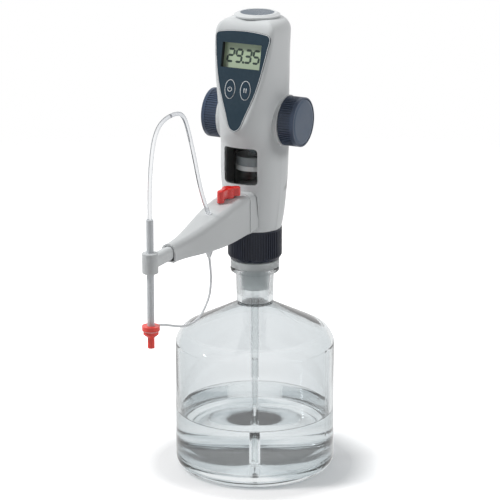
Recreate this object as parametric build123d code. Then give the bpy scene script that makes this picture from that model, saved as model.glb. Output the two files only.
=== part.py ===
from build123d import *
from math import cos, pi, radians, sin, sqrt, tan
import os

# Digital burette standing on its reagent bottle.
# Millimetres, +Z up. The bottle's axis is the Z axis and its base is at z = 0.
# The display, the arm and the titrating tube face -Y, and the handwheels lie along X.

# Fits
SEAT_GAP = 0.05            # between pieces that are pressed or screwed together
RUNNING_GAP = 0.05         # radial, between a shaft or tube and its bore
MOVING_GAP = 0.3           # between pieces that pass each other
JOINT_GAP = 0.12           # between the two ground cones at the bottle's neck

# Reagent bottle
BOTTLE_RADIUS = 80.0
BOTTLE_WALL = 4.0
BOTTLE_BASE = 6.5
FOOT_RADIUS = 12.0
BOTTLE_SIDE_HEIGHT = 130.0
SHOULDER_RADIUS = 71.5
SHOULDER_HEIGHT = 144.0
SHOULDER_SLOPE = (-0.88, 0.47)
SHOULDER_BEND = 0.75       # how far the curve keeps each end's direction
INNER_SHOULDER_BEND = 0.6
FOOT_INNER_SHARE = 0.7     # inner corner against the outer one
NECK_FOOT_RADIUS = 18.2
NECK_FOOT_HEIGHT = 171.0
NECK_RADIUS = 19.2
NECK_RIM_RADIUS = 24.5
NECK_RIM_THICKNESS = 6.0
NECK_RIM_HEIGHT = 210.0
NECK_RIM_ROUNDING = 2.5

# Ground joint and adapter
JOINT_RADIUS = 14.6
JOINT_LENGTH = 32.0
JOINT_TAPER = 0.05         # radius lost per length
ADAPTER_CONE_LENGTH = 23.0
ADAPTER_COLLAR_RADIUS = 24.3
ADAPTER_COLLAR_HEIGHT = 7.0
ADAPTER_SPIGOT_RADIUS = 22.2
ADAPTER_SPIGOT_HEIGHT = 19.0
ADAPTER_BORE_RADIUS = 10.2
SEALING_RING_HEIGHT = 2.0
SEALING_RING_INNER_RADIUS = 12.0

# Threaded ring
RING_RADIUS = 27.0
RING_BOTTOM = 218.0
RING_TOP = 250.0
RING_CHAMFER = 2.6
RING_RIB_COUNT = 64
RING_RIB_DEPTH = 0.7
RING_LIP_HEIGHT = 10.0

# Housing
HOUSING_BOTTOM = 250.3
HOUSING_TOP = 461.0
HOUSING_WALL = 2.5
HOUSING_SPLIT_Y = 16.0
HOUSING_TOP_ROUNDING = 13.0
FACE_ROUNDING = 5.0
FACE_TILT = 12.5
FACE_TIP_HEIGHT = 356.0
FACE_TIP_REACH = 45.6
SPLIT_GAP = 0.1
# Height, half width, centre towards the rear, reach towards the front and fullness of each section
HOUSING_STATIONS = [
    (250.3, 26.3, 0.0, 26.4, 2.0),
    (262.0, 28.2, 0.8, 29.0, 2.1),
    (280.0, 29.8, 1.8, 31.8, 2.3),
    (300.0, 31.0, 2.8, 33.4, 2.6),
    (322.0, 31.6, 3.6, 34.2, 2.6),
    (338.0, 31.6, 4.2, 35.6, 2.5),
    (350.0, 31.6, 4.5, 42.6, 2.2),
    (362.0, 31.6, 4.5, 46.0, 2.15),
    (385.0, 31.6, 4.5, 46.2, 2.4),
    (410.0, 31.9, 4.5, 46.2, 2.85),
    (440.0, 32.6, 4.5, 46.2, 3.5),
    (461.0, 32.8, 4.5, 46.2, 3.5),
]
FRONT_POINTS = 12

# Window
WINDOW_WIDTH = 36.0
WINDOW_HEIGHT = 37.0
WINDOW_CENTRE = 318.8
WINDOW_CORNER = 4.0
PANE_THICKNESS = 1.4
PANE_DEPTH = 0.6

# Top cap
TOP_CAP_RADIUS = 22.6
TOP_CAP_CENTRE_Y = 5.0
TOP_CAP_HEIGHT = 3.8
TOP_CAP_BEVEL = 1.8
TOP_CAP_SEAM = 0.5
TOP_CAP_SEAM_DEPTH = 1.0
TOP_CAP_PLUG_RADIUS = 16.0
TOP_CAP_PLUG_DEPTH = 2.4
TOP_INLAY_RADIUS = 16.6
TOP_INLAY_THICKNESS = 1.0

# Display panel, measured in the inclined front face from its lower tip
PANEL_THICKNESS = 1.6
PANEL_RECESS = 1.3
PANEL_EDGE_GAP = 0.15
PANEL_SIDE = [(0.0, 0.0), (9.0, 10.6), (19.4, 39.0), (29.0, 86.0), (29.7, 95.2)]
PANEL_TOP_HEIGHT = 98.0
PANEL_CORNER = 5.0
LCD_WIDTH = 42.0
LCD_HEIGHT = 24.0
LCD_CENTRE = 73.4
LCD_DEPTH = 5.4
LCD_THICKNESS = 2.0
BEZEL_WALL = 2.5
BEZEL_COLLAR = 0.9
BEZEL_FLOOR = 1.2
KEY_WIDTH = 9.6
KEY_HEIGHT = 17.2
KEY_SPACING = 16.6
KEY_CENTRE = 40.6
KEY_PROUD = 0.9
KEY_TRAVEL = 0.8
KEY_FLANGE = 0.9
KEY_FLANGE_THICKNESS = 1.0
KEY_LENGTH = 7.6
BOARD_WIDTH = 38.0
BOARD_HEIGHT = 74.0
BOARD_CENTRE = 60.4
BOARD_DEPTH = 12.0
BOARD_THICKNESS = 1.6
SWITCH_RADIUS = 3.0

# Batteries and their cover
BATTERY_RADIUS = 5.25
BATTERY_LENGTH = 43.5
BATTERY_NIPPLE = 1.0
BATTERY_NIPPLE_RADIUS = 1.9
BATTERY_SPACING = 11.6
BATTERY_Y = 24.0
BATTERY_BOTTOM = 393.0
HOLDER_WALL = 1.6
HOLDER_EAR_REACH = 25.0
HOLDER_EAR_HEIGHT = 24.0
COVER_HALF_WIDTH = 15.0
COVER_BOTTOM = 386.0
COVER_TOP = 442.0
COVER_GAP = 0.3

# Handwheels, their shaft and the rack drive
DRIVE_Y = 5.5
DRIVE_Z = 360.0
SHAFT_RADIUS = 3.0
SHAFT_HALF_LENGTH = 47.5
WHEEL_RADIUS = 24.4
WHEEL_INNER_FACE = 33.6
WHEEL_OUTER_FACE = 50.4
WHEEL_RIB_COUNT = 60
WHEEL_RIB_DEPTH = 0.75
WHEEL_RIB_END = 46.6
WHEEL_WEB = 3.0
WHEEL_RIM = 3.2
WHEEL_EDGE_ROUNDING = 0.8
WHEEL_HUB_RADIUS = 6.5
WHEEL_CAP_RADIUS = 22.2
WHEEL_CAP_GROOVE = 0.5
WHEEL_CAP_SEAT = 1.8
WHEEL_CAP_DOME = 0.6
WHEEL_CAP_BORDER = 2.6
BOSS_RADIUS = 25.4
BOSS_FACE = 33.2
BOSS_ROOT = 9.0
BUSH_RADIUS = 6.0
BUSH_LENGTH = 5.6
GEAR_MODULE = 0.8
PINION_TEETH = 14
PINION_WIDTH = 9.0
TOOTH_BACKLASH = 0.12
RACK_TEETH = 22
RACK_TOOTH_SHIFT = 2       # whole teeth from the rack's middle down to the shaft

# Measuring cylinder and piston
CYLINDER_BORE_RADIUS = 18.8
CYLINDER_WALL = 1.8
CYLINDER_FLOOR = 292.0
CYLINDER_TOP = 350.0
PISTON_REST = 310.4
SEAL_HEIGHT = 4.4
SEAL_GAP = 0.05
PISTON_HEAD_HEIGHT = 9.0
PISTON_HEAD_RADIUS = 18.0
SEAL_LIP = 2.0
SEAL_LIP_DEPTH = 1.0
ROD_WIDTH = 8.0
ROD_DEPTH = 7.0
ROD_TOP = 402.0
CLAMP_BOTTOM = 343.0
CLAMP_THICKNESS = 3.0
GUIDE_BOTTOM = 384.0
GUIDE_THICKNESS = 3.0
INNER_PLATE_FRONT_Y = -22.0
INNER_PLATE_STATION = 7     # the section whose width the inner plates follow

# Valve block
BLOCK_SPIGOT_RADIUS = 20.4
BLOCK_RADIUS = 22.0
BLOCK_FLANGE_RADIUS = 23.7
BLOCK_FLANGE_HEIGHT = 4.0
BLOCK_FLANGE_BOTTOM = 252.0
BLOCK_PASSAGE_RADIUS = 2.2
BRANCH_RADIUS = 7.5
BRANCH_Z = 272.0
BRANCH_END_Y = -88.0
VALVE_INSERT_RADIUS = 4.6
VALVE_INSERT_LENGTH = 12.0
BALL_RADIUS = 2.6
BALL_LIFT = 1.2
BALL_SEAT = 3.0
DISCHARGE_Y = -24.0
TURRET_RADIUS = 8.5
TURRET_BELOW_BRANCH = 6.0
TURRET_ABOVE_BRANCH = 14.0

# Valve toggle
TOGGLE_Y = -58.0
SPINDLE_RADIUS = 4.0
SPINDLE_BOTTOM = 264.0
TOGGLE_ARM_GAP = 1.2
TOGGLE_HUB_RADIUS = 6.0
TOGGLE_LEVER_LENGTH = 18.4
TOGGLE_POINTER_LENGTH = 12.5
TOGGLE_WING_WIDTH = 7.0
TOGGLE_POINTER_ANGLE = 42.0
TOGGLE_HEIGHT = 10.4
TOGGLE_WING_LIFT = 1.6
TOGGLE_ROUNDING = 1.8
TOGGLE_TOE_START = 14.5
TOGGLE_TOE_DROP = 1.6
TOGGLE_SEAT_DEPTH = 5.0

# Arm: distance in front of the axis, half width, underside and top of each section
ARM_STATIONS = [
    (-25.0, 16.2, 254.2, 292.4),
    (-62.0, 16.0, 253.7, 292.2),
    (-92.0, 15.0, 253.7, 287.6),
    (-130.0, 11.2, 256.0, 280.8),
    (-178.0, 7.4, 259.8, 277.2),
]
ARM_WALL = 1.6
ARM_TOP_CORNER = 6.6
ARM_FOOT_CORNER = 2.4
ARM_COLLAR_START_Y = -31.0
ARM_COLLAR_END_Y = -42.0
ARM_COLLAR_STEP = 0.6

# Hose inlet on the arm
NIPPLE_RADIUS = 3.1
NIPPLE_LENGTH = 12.0

# Extension rod, holder and titrating tube
EXTENSION_WIDTH = 10.4
EXTENSION_HEIGHT = 13.4
EXTENSION_CORNER = 4.6
EXTENSION_Z = 268.3
EXTENSION_BACK_Y = -112.0
TIP_Y = -213.0
HOLDER_RADIUS = 7.6
HOLDER_CHAMFER = 0.6
HOLDER_BOTTOM = 258.6
HOLDER_TOP = 278.0
TUBE_RADIUS = 3.45
TUBE_BORE_RADIUS = 1.6
TUBE_TOP = 309.5
TUBE_BOTTOM = 200.4
TIP_RADIUS = 1.6
TIP_BORE_RADIUS = 0.6
TIP_LENGTH = 10.0
CAP_FLANGE_RADIUS = 8.4
CAP_FLANGE_TOP = 207.6
CAP_FLANGE_HEIGHT = 4.2
CAP_LOWER_FLANGE_RADIUS = 7.2
CAP_LOWER_FLANGE_HEIGHT = 3.2
CAP_GROOVE_RADIUS = 6.3
CAP_GROOVE_HEIGHT = 0.8
CAP_NOZZLE_RADIUS = 3.3
CAP_CONE_HEIGHT = 3.2
CAP_BOTTOM = 186.0

# Filling and return tubes
FILLING_RADIUS = 4.0
FILLING_WALL = 0.9
FILLING_UPPER_BOTTOM = 92.0
FILLING_LOWER_WALL = 0.9
FILLING_LOWER_TOP = 112.0
FILLING_LOWER_BOTTOM = 8.0
FILLING_SOCKET = 8.0
RETURN_RADIUS = 2.2
RETURN_WALL = 0.7
RETURN_OFFSET = 7.3
RETURN_BOTTOM = 188.0

# Hose and cap strap: each list is the route of one length, as (y, z) in the plane x = 0
HOSE_DIAMETER = 4.0
HOSE_ARM_ROUTE = [
    (-172.0, 398.4), (-156.4, 398.9), (-144.0, 390.4), (-134.6, 370.2),
    (-125.4, 346.6), (-116.6, 321.0), (-107.0, 301.0), (-98.5, 287.4),
]
HOSE_TIP_ROUTE = [
    (-213.0, 309.5), (-213.0, 333.0), (-210.4, 359.5), (-203.5, 385.5),
    (-187.6, 397.9), (-172.0, 398.4),
]
STRAP_DIAMETER = 2.4
STRAP_UPPER_ROUTE = [
    (-97.0, 243.0), (-94.4, 232.0), (-93.6, 217.0), (-97.2, 203.0), (-104.9, 196.4),
]
STRAP_MIDDLE_ROUTE = [(-104.9, 196.4), (-112.6, 189.8), (-130.0, 185.9), (-141.5, 187.5)]
STRAP_LOWER_ROUTE = [
    (-141.5, 187.5), (-153.0, 189.1), (-174.0, 196.4), (-191.0, 202.2), (-204.3, 205.3),
]
ANCHOR_LENGTH = 10.0
ANCHOR_WIDTH = 8.0
ANCHOR_FOOT = 2.4
ANCHOR_SINK = 1.2           # how far the web's top is drawn into the arm before it is cut off

# Worked out from the sizes above
TOGGLE_BASE = ARM_STATIONS[1][3] + TOGGLE_ARM_GAP
JOINT_FOOT = NECK_RIM_HEIGHT - JOINT_LENGTH
JOINT_FOOT_RADIUS = JOINT_RADIUS - JOINT_TAPER * JOINT_LENGTH
CONE_FOOT = NECK_RIM_HEIGHT - ADAPTER_CONE_LENGTH
CONE_FOOT_RADIUS = JOINT_RADIUS - JOINT_TAPER * ADAPTER_CONE_LENGTH
ADAPTER_TOP = NECK_RIM_HEIGHT + ADAPTER_COLLAR_HEIGHT + ADAPTER_SPIGOT_HEIGHT
BLOCK_BOTTOM = ADAPTER_TOP + SEALING_RING_HEIGHT
FACE = Plane(
    origin=(0, -FACE_TIP_REACH, FACE_TIP_HEIGHT),
    x_dir=(1, 0, 0),
    z_dir=(0, -cos(radians(FACE_TILT)), sin(radians(FACE_TILT))),
)
PITCH_RADIUS = GEAR_MODULE * PINION_TEETH / 2
RACK_PITCH_Y = DRIVE_Y - PITCH_RADIUS
TOOTH_PITCH = pi * GEAR_MODULE
SUCTION_PLACE = Pos(0, 0, BLOCK_BOTTOM + FILLING_SOCKET)
DISCHARGE_PLACE = Pos(0, DISCHARGE_Y, BRANCH_Z) * Rot(90, 0, 0)

os.makedirs("parts", exist_ok=True)


def save(shape, name):
    export_step(shape, f"parts/{name}.step")


def cylinder(radius, low, high, x=0.0, y=0.0):
    """Upright cylinder between two heights."""
    return Pos(x, y, (low + high) / 2) * Cylinder(radius, high - low)


def tube(radius, bore, low, high, x=0.0, y=0.0):
    """Upright tube between two heights, with its bore run through both ends."""
    return cylinder(radius, low, high, x, y) - cylinder(bore, low - 1, high + 1, x, y)


def cross_cylinder(radius, left, right, y=DRIVE_Y, z=DRIVE_Z):
    """Cylinder along X between two places."""
    return Pos((left + right) / 2, y, z) * Rot(0, 90, 0) * Cylinder(radius, right - left)


def block(x_low, x_high, y_low, y_high, z_low, z_high):
    """Box between two corners."""
    centre = ((x_low + x_high) / 2, (y_low + y_high) / 2, (z_low + z_high) / 2)
    return Pos(*centre) * Box(x_high - x_low, y_high - y_low, z_high - z_low)


def turned(points):
    """Solid of revolution about Z from an outline of (radius, height) points."""
    outline = Polyline([(r, 0, z) for r, z in points], close=True)
    return revolve(make_face(outline), Axis.Z, 360)


def on_face(sketch, outer, inner):
    """Extrude a sketch drawn in the front face between two depths behind that face."""
    return extrude(FACE.offset(-inner) * sketch, inner - outer)


# Reagent bottle

def reagent_bottle():
    """Blown bottle with a flat foot, a coned shoulder and a ground neck with a rolled rim."""
    wall = BOTTLE_WALL
    socket_top = JOINT_RADIUS + JOINT_GAP
    socket_foot = JOINT_FOOT_RADIUS + JOINT_GAP
    rim_low = NECK_RIM_HEIGHT - NECK_RIM_THICKNESS
    with BuildPart() as bottle:
        with BuildSketch(Plane.XZ):
            with BuildLine():
                outside = Polyline(
                    (0, 0),
                    (BOTTLE_RADIUS, 0),
                    (BOTTLE_RADIUS, BOTTLE_SIDE_HEIGHT),
                )
                shoulder = Spline(
                    (BOTTLE_RADIUS, BOTTLE_SIDE_HEIGHT),
                    (SHOULDER_RADIUS, SHOULDER_HEIGHT),
                    tangents=[(0, 1), SHOULDER_SLOPE],
                    tangent_scalars=[SHOULDER_BEND, SHOULDER_BEND],
                )
                Polyline(
                    shoulder @ 1,
                    (NECK_FOOT_RADIUS, NECK_FOOT_HEIGHT),
                    (NECK_RADIUS, rim_low),
                    (NECK_RIM_RADIUS, rim_low),
                    (NECK_RIM_RADIUS, NECK_RIM_HEIGHT),
                    (0, NECK_RIM_HEIGHT),
                    outside @ 0,
                )
            make_face()
        revolve(axis=Axis.Z)
        rim = bottle.edges().filter_by(GeomType.CIRCLE).filter_by(
            lambda e: abs(e.radius - NECK_RIM_RADIUS) < 0.01
        )
        fillet(rim, NECK_RIM_ROUNDING)
        foot = bottle.edges().filter_by(GeomType.CIRCLE).filter_by(
            lambda e: abs(e.radius - BOTTLE_RADIUS) < 0.01 and e.center().Z < 1
        )
        fillet(foot, FOOT_RADIUS)
        with BuildSketch(Plane.XZ):
            with BuildLine():
                Polyline(
                    (0, BOTTLE_BASE),
                    (BOTTLE_RADIUS - wall - FOOT_RADIUS, BOTTLE_BASE),
                    (BOTTLE_RADIUS - wall, BOTTLE_BASE + FOOT_RADIUS * FOOT_INNER_SHARE),
                    (BOTTLE_RADIUS - wall, BOTTLE_SIDE_HEIGHT),
                )
                inner = Spline(
                    (BOTTLE_RADIUS - wall, BOTTLE_SIDE_HEIGHT),
                    (SHOULDER_RADIUS - wall * 0.4, SHOULDER_HEIGHT - wall),
                    tangents=[(0, 1), SHOULDER_SLOPE],
                    tangent_scalars=[INNER_SHOULDER_BEND, INNER_SHOULDER_BEND],
                )
                Polyline(
                    inner @ 1,
                    (socket_foot, JOINT_FOOT - wall - 1),
                    (socket_foot, JOINT_FOOT),
                    (socket_top, NECK_RIM_HEIGHT),
                    (socket_top, NECK_RIM_HEIGHT + 1),
                    (0, NECK_RIM_HEIGHT + 1),
                    (0, BOTTLE_BASE),
                )
            make_face()
        revolve(axis=Axis.Z, mode=Mode.SUBTRACT)
    return bottle.part


# Neck adapter and threaded ring

def neck_adapter():
    """Hollow ground cone with a collar that rests on the bottle's rim and a threaded spigot."""
    collar_top = NECK_RIM_HEIGHT + ADAPTER_COLLAR_HEIGHT
    return turned([
        (ADAPTER_BORE_RADIUS, CONE_FOOT),
        (CONE_FOOT_RADIUS, CONE_FOOT),
        (JOINT_RADIUS, NECK_RIM_HEIGHT),
        (ADAPTER_COLLAR_RADIUS, NECK_RIM_HEIGHT),
        (ADAPTER_COLLAR_RADIUS, collar_top),
        (ADAPTER_SPIGOT_RADIUS, collar_top),
        (ADAPTER_SPIGOT_RADIUS, ADAPTER_TOP),
        (ADAPTER_BORE_RADIUS, ADAPTER_TOP),
    ])


def sealing_ring():
    return tube(BLOCK_SPIGOT_RADIUS, SEALING_RING_INNER_RADIUS, ADAPTER_TOP, BLOCK_BOTTOM)


def knurled_ring():
    """Threaded ring with a coned lower edge and fine upright ribs."""
    lip = RING_TOP - RING_LIP_HEIGHT
    ring = turned([
        (ADAPTER_SPIGOT_RADIUS + SEAT_GAP * 2, RING_BOTTOM),
        (RING_RADIUS - RING_CHAMFER, RING_BOTTOM),
        (RING_RADIUS, RING_BOTTOM + RING_CHAMFER * 1.6),
        (RING_RADIUS, RING_TOP),
        (BLOCK_SPIGOT_RADIUS + MOVING_GAP, RING_TOP),
        (BLOCK_SPIGOT_RADIUS + MOVING_GAP, lip),
        (ADAPTER_SPIGOT_RADIUS + SEAT_GAP * 2, lip),
    ])
    groove_width = pi * RING_RADIUS / RING_RIB_COUNT
    groove = Pos(RING_RADIUS, 0, (RING_TOP + RING_BOTTOM) / 2) * Box(
        RING_RIB_DEPTH * 2, groove_width, (RING_TOP - RING_BOTTOM) - 2.4
    )
    grooves = [
        Rot(0, 0, 360 * i / RING_RIB_COUNT) * groove for i in range(RING_RIB_COUNT)
    ]
    return ring - grooves


# Housing

def housing_section(height, half_width, centre_y, front, fullness, inset):
    """Section with a half-round rear and a fuller, superelliptic front."""
    rx = half_width - inset
    ry = front + centre_y - inset
    points = []
    for i in range(FRONT_POINTS + 1):
        angle = pi + pi * i / FRONT_POINTS
        across = abs(cos(angle)) / rx
        along = abs(sin(angle)) / ry
        reach = (across ** fullness + along ** fullness) ** (-1 / fullness)
        points.append((reach * cos(angle), centre_y + reach * sin(angle)))
    with BuildSketch(Plane.XY.offset(height)) as section:
        with BuildLine():
            Spline(points, tangents=[(0, -1), (0, 1)])
            ThreePointArc((rx, centre_y), (0, centre_y + rx), (-rx, centre_y))
        make_face()
    return section.sketch


def in_front_of_face(depth):
    """Everything in front of a plane that lies a given depth behind the inclined face."""
    return extrude(FACE.offset(-depth) * Rectangle(200, 400), 60)


def inclined_face(body):
    """The face of a solid that lies in the plane of the display."""
    def distance(face):
        return abs((face.center() - FACE.origin).dot(FACE.z_dir))
    turned_alike = body.faces().filter_by(lambda f: f.normal_at().dot(FACE.z_dir) > 0.999)
    return turned_alike.sort_by(distance)[0]


def housing_solid(inset, bottom, top):
    """Housing as a full solid, moved inwards by an inset."""
    stations = [list(s) for s in HOUSING_STATIONS]
    stations[0][0] = bottom
    stations[-1][0] = top
    sections = [housing_section(*s, inset) for s in stations]
    body = loft([s.face() for s in sections])
    body = body - in_front_of_face(inset)
    top_edges = body.faces().sort_by(Axis.Z)[-1].edges()
    body = fillet(top_edges, HOUSING_TOP_ROUNDING - inset)
    if inset == 0:
        body = fillet(inclined_face(body).edges(), FACE_ROUNDING)
    for side in (-1, 1):
        face = side * (BOSS_FACE - inset)
        root = side * BOSS_ROOT
        body = body + cross_cylinder(BOSS_RADIUS - inset, min(face, root), max(face, root))
    return body


def window_cutter(margin=0.0):
    """Upright opening in the front with rounded corners."""
    width = WINDOW_WIDTH - 2 * margin
    height = WINDOW_HEIGHT - 2 * margin
    outline = RectangleRounded(width, height, WINDOW_CORNER - margin)
    start = Plane(origin=(0, -60, WINDOW_CENTRE), x_dir=(1, 0, 0), z_dir=(0, 1, 0))
    return extrude(start * outline, 45)


def panel_outline(margin):
    """Shield shape of the panel in the front face, grown by a margin."""
    right = [(x + margin * min(x, 1), y) for x, y in PANEL_SIDE]
    right[0] = (0, -margin)
    left = [(-x, y) for x, y in reversed(right)]
    with BuildSketch() as shield:
        with BuildLine():
            Spline(right, tangents=[(1, 0.12), (0, 1)])
            ThreePointArc(right[-1], (0, PANEL_TOP_HEIGHT + margin), left[0])
            Spline(left, tangents=[(0, -1), (1, -0.12)])
        make_face()
        fillet(shield.vertices().sort_by(Axis.Y)[-2:], PANEL_CORNER)
    return shield.sketch


def lcd_outline(margin=0.0):
    return Pos(0, LCD_CENTRE) * Rectangle(LCD_WIDTH + 2 * margin, LCD_HEIGHT + 2 * margin)


def key_outline(side, margin=0.0):
    outline = Ellipse(KEY_WIDTH / 2 + margin, KEY_HEIGHT / 2 + margin)
    return Pos(side * KEY_SPACING / 2, KEY_CENTRE) * outline


def cover_cutter(gap):
    """Opening in the rear for the battery cover."""
    return block(
        -COVER_HALF_WIDTH - gap, COVER_HALF_WIDTH + gap,
        HOUSING_SPLIT_Y + 3, 60,
        COVER_BOTTOM - gap, COVER_TOP + gap,
    )


def arm_section(y, half_width, low, high, inset):
    """Section of the arm with wide upper corners and small lower ones."""
    plane = Plane(origin=(0, y, 0), x_dir=(1, 0, 0), z_dir=(0, -1, 0))
    w = half_width - inset
    z_low = low + inset
    z_high = high - inset
    with BuildSketch(plane) as section:
        with BuildLine():
            Polyline((-w, z_low), (w, z_low), (w, z_high), (-w, z_high), close=True)
        make_face()
        fillet(section.vertices().sort_by(Axis.Y)[:2], max(ARM_FOOT_CORNER - inset, 0.6))
        fillet(section.vertices().sort_by(Axis.Y)[-2:], ARM_TOP_CORNER - inset)
    return section.sketch.face()


def arm_solid(inset=0.0, extra=0.0):
    """Arm as a full solid, with its ends run on by an extra length."""
    stations = [list(s) for s in ARM_STATIONS]
    stations[0][0] += extra
    stations[-1][0] -= extra
    return loft([arm_section(*s, inset) for s in stations])


def housing_parts():
    """Front and rear shells, the pane in the window and the battery cover."""
    outer = housing_solid(0.0, HOUSING_BOTTOM, HOUSING_TOP)
    inner = housing_solid(HOUSING_WALL, HOUSING_BOTTOM, HOUSING_TOP - HOUSING_WALL)
    plug_low = HOUSING_TOP - HOUSING_WALL - 1
    plug = cylinder(TOP_CAP_PLUG_RADIUS + SEAT_GAP, plug_low, HOUSING_TOP + 1, 0, TOP_CAP_CENTRE_Y)
    shell = outer - inner - plug - cross_cylinder(BUSH_RADIUS + SEAT_GAP, -60, 60)
    front_half = block(-60, 60, -80, HOUSING_SPLIT_Y - SPLIT_GAP / 2, 200, 500)
    rear_half = block(-60, 60, HOUSING_SPLIT_Y + SPLIT_GAP / 2, 80, 200, 500)

    front = shell & front_half
    front = front - on_face(panel_outline(PANEL_EDGE_GAP), -1, PANEL_RECESS)
    front = front - on_face(lcd_outline(BEZEL_COLLAR + SEAT_GAP), -1, HOUSING_WALL + 2)
    for side in (-1, 1):
        front = front - on_face(key_outline(side, MOVING_GAP), -1, HOUSING_WALL + 2)
    front = front - window_cutter() - arm_solid(-ARM_COLLAR_STEP - SEAT_GAP)
    rear = (shell & rear_half) - cover_cutter(COVER_GAP)
    cover = (shell & rear_half) & cover_cutter(0.0)

    outside = outer & block(-40, 40, -60, 0, WINDOW_CENTRE - WINDOW_HEIGHT, WINDOW_CENTRE + 21)
    pane = Pos(0, PANE_DEPTH, 0) * outside - Pos(0, PANE_DEPTH + PANE_THICKNESS, 0) * outside
    pane = pane & window_cutter(SEAT_GAP)
    return front, rear, cover, pane


def top_cap():
    """Round cap with a bevelled edge, a plug into the housing and a seat for its inlay."""
    high = HOUSING_TOP + TOP_CAP_HEIGHT
    cap = cylinder(TOP_CAP_RADIUS, HOUSING_TOP, high, 0, TOP_CAP_CENTRE_Y)
    cap = chamfer(cap.edges().group_by(Axis.Z)[-1], TOP_CAP_BEVEL, TOP_CAP_BEVEL * 2)
    cap = cap - tube(
        TOP_CAP_RADIUS + 1, TOP_CAP_RADIUS - TOP_CAP_SEAM_DEPTH,
        HOUSING_TOP - 1, HOUSING_TOP + TOP_CAP_SEAM, 0, TOP_CAP_CENTRE_Y,
    )
    plug_low = HOUSING_TOP - TOP_CAP_PLUG_DEPTH
    cap = cap + cylinder(TOP_CAP_PLUG_RADIUS, plug_low, HOUSING_TOP, 0, TOP_CAP_CENTRE_Y)
    seat = cylinder(
        TOP_INLAY_RADIUS + SEAT_GAP, high - TOP_INLAY_THICKNESS, high + 1, 0, TOP_CAP_CENTRE_Y
    )
    return cap - seat


def top_inlay():
    high = HOUSING_TOP + TOP_CAP_HEIGHT
    return cylinder(TOP_INLAY_RADIUS, high - TOP_INLAY_THICKNESS, high, 0, TOP_CAP_CENTRE_Y)


def display_panel():
    """Shield-shaped panel with openings for the display and the keys."""
    panel = on_face(panel_outline(0), PANEL_RECESS - PANEL_THICKNESS, PANEL_RECESS)
    panel = panel - on_face(lcd_outline(), -3, PANEL_RECESS + 1)
    for side in (-1, 1):
        panel = panel - on_face(key_outline(side, MOVING_GAP), -3, PANEL_RECESS + 1)
    return panel


def lcd_bezel():
    """Black tray behind the wall, with a collar up to the panel, that holds the display cell."""
    depth = LCD_DEPTH + LCD_THICKNESS
    tray = on_face(lcd_outline(BEZEL_WALL), HOUSING_WALL, depth + BEZEL_FLOOR)
    tray = tray + on_face(lcd_outline(BEZEL_COLLAR), PANEL_RECESS, HOUSING_WALL)
    return tray - on_face(lcd_outline(), PANEL_RECESS - 1, depth)


def lcd_cell():
    return on_face(lcd_outline(-SEAT_GAP), LCD_DEPTH, LCD_DEPTH + LCD_THICKNESS)


def key(side):
    """Oval key with a retaining flange behind the housing's wall."""
    cap = on_face(key_outline(side), -KEY_PROUD, KEY_LENGTH - KEY_PROUD)
    flange_front = HOUSING_WALL + 0.1
    flange = on_face(
        key_outline(side, KEY_FLANGE), flange_front, flange_front + KEY_FLANGE_THICKNESS
    )
    return cap + flange


def circuit_board():
    """Board parallel to the panel, with a push switch behind each key."""
    board = on_face(
        Pos(0, BOARD_CENTRE) * Rectangle(BOARD_WIDTH, BOARD_HEIGHT),
        BOARD_DEPTH, BOARD_DEPTH + BOARD_THICKNESS,
    )
    switch_top = KEY_LENGTH - KEY_PROUD + KEY_TRAVEL + 0.1
    for side in (-1, 1):
        place = Pos(side * KEY_SPACING / 2, KEY_CENTRE)
        board = board + on_face(place * Circle(SWITCH_RADIUS), switch_top, BOARD_DEPTH)
    spacer = LCD_DEPTH + LCD_THICKNESS + BEZEL_FLOOR
    board = board + on_face(
        Pos(0, LCD_CENTRE) * Rectangle(LCD_WIDTH - 8, LCD_HEIGHT - 8), spacer, BOARD_DEPTH
    )
    return board


def batteries():
    """Two round cells side by side, one of them upside down."""
    cells = []
    for side in (-1, 1):
        x = side * BATTERY_SPACING / 2
        low = BATTERY_BOTTOM + (BATTERY_NIPPLE if side < 0 else 0)
        cell = cylinder(BATTERY_RADIUS, low, low + BATTERY_LENGTH, x, BATTERY_Y)
        nipple = low + BATTERY_LENGTH if side > 0 else low - BATTERY_NIPPLE
        cell = cell + cylinder(BATTERY_NIPPLE_RADIUS, nipple, nipple + BATTERY_NIPPLE, x, BATTERY_Y)
        cells.append(cell)
    return Compound(children=cells)


def battery_holder():
    """Open tray with end walls for both cells, and ears that reach the rear shell."""
    half = BATTERY_SPACING / 2 + BATTERY_RADIUS + SEAT_GAP
    front = BATTERY_Y - BATTERY_RADIUS - SEAT_GAP
    low = BATTERY_BOTTOM - SEAT_GAP
    high = BATTERY_BOTTOM + BATTERY_LENGTH + BATTERY_NIPPLE + SEAT_GAP
    outer = block(
        -half - HOLDER_WALL, half + HOLDER_WALL,
        front - HOLDER_WALL, BATTERY_Y + 1,
        low - HOLDER_WALL, high + HOLDER_WALL,
    )
    middle = (low + high) / 2
    ears = block(
        -HOLDER_EAR_REACH, HOLDER_EAR_REACH,
        front - HOLDER_WALL, front + HOLDER_WALL * 0.5,
        middle - HOLDER_EAR_HEIGHT / 2, middle + HOLDER_EAR_HEIGHT / 2,
    )
    return outer + ears - block(-half, half, front, BATTERY_Y + 5, low, high)


# Handwheels and drive

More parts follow.
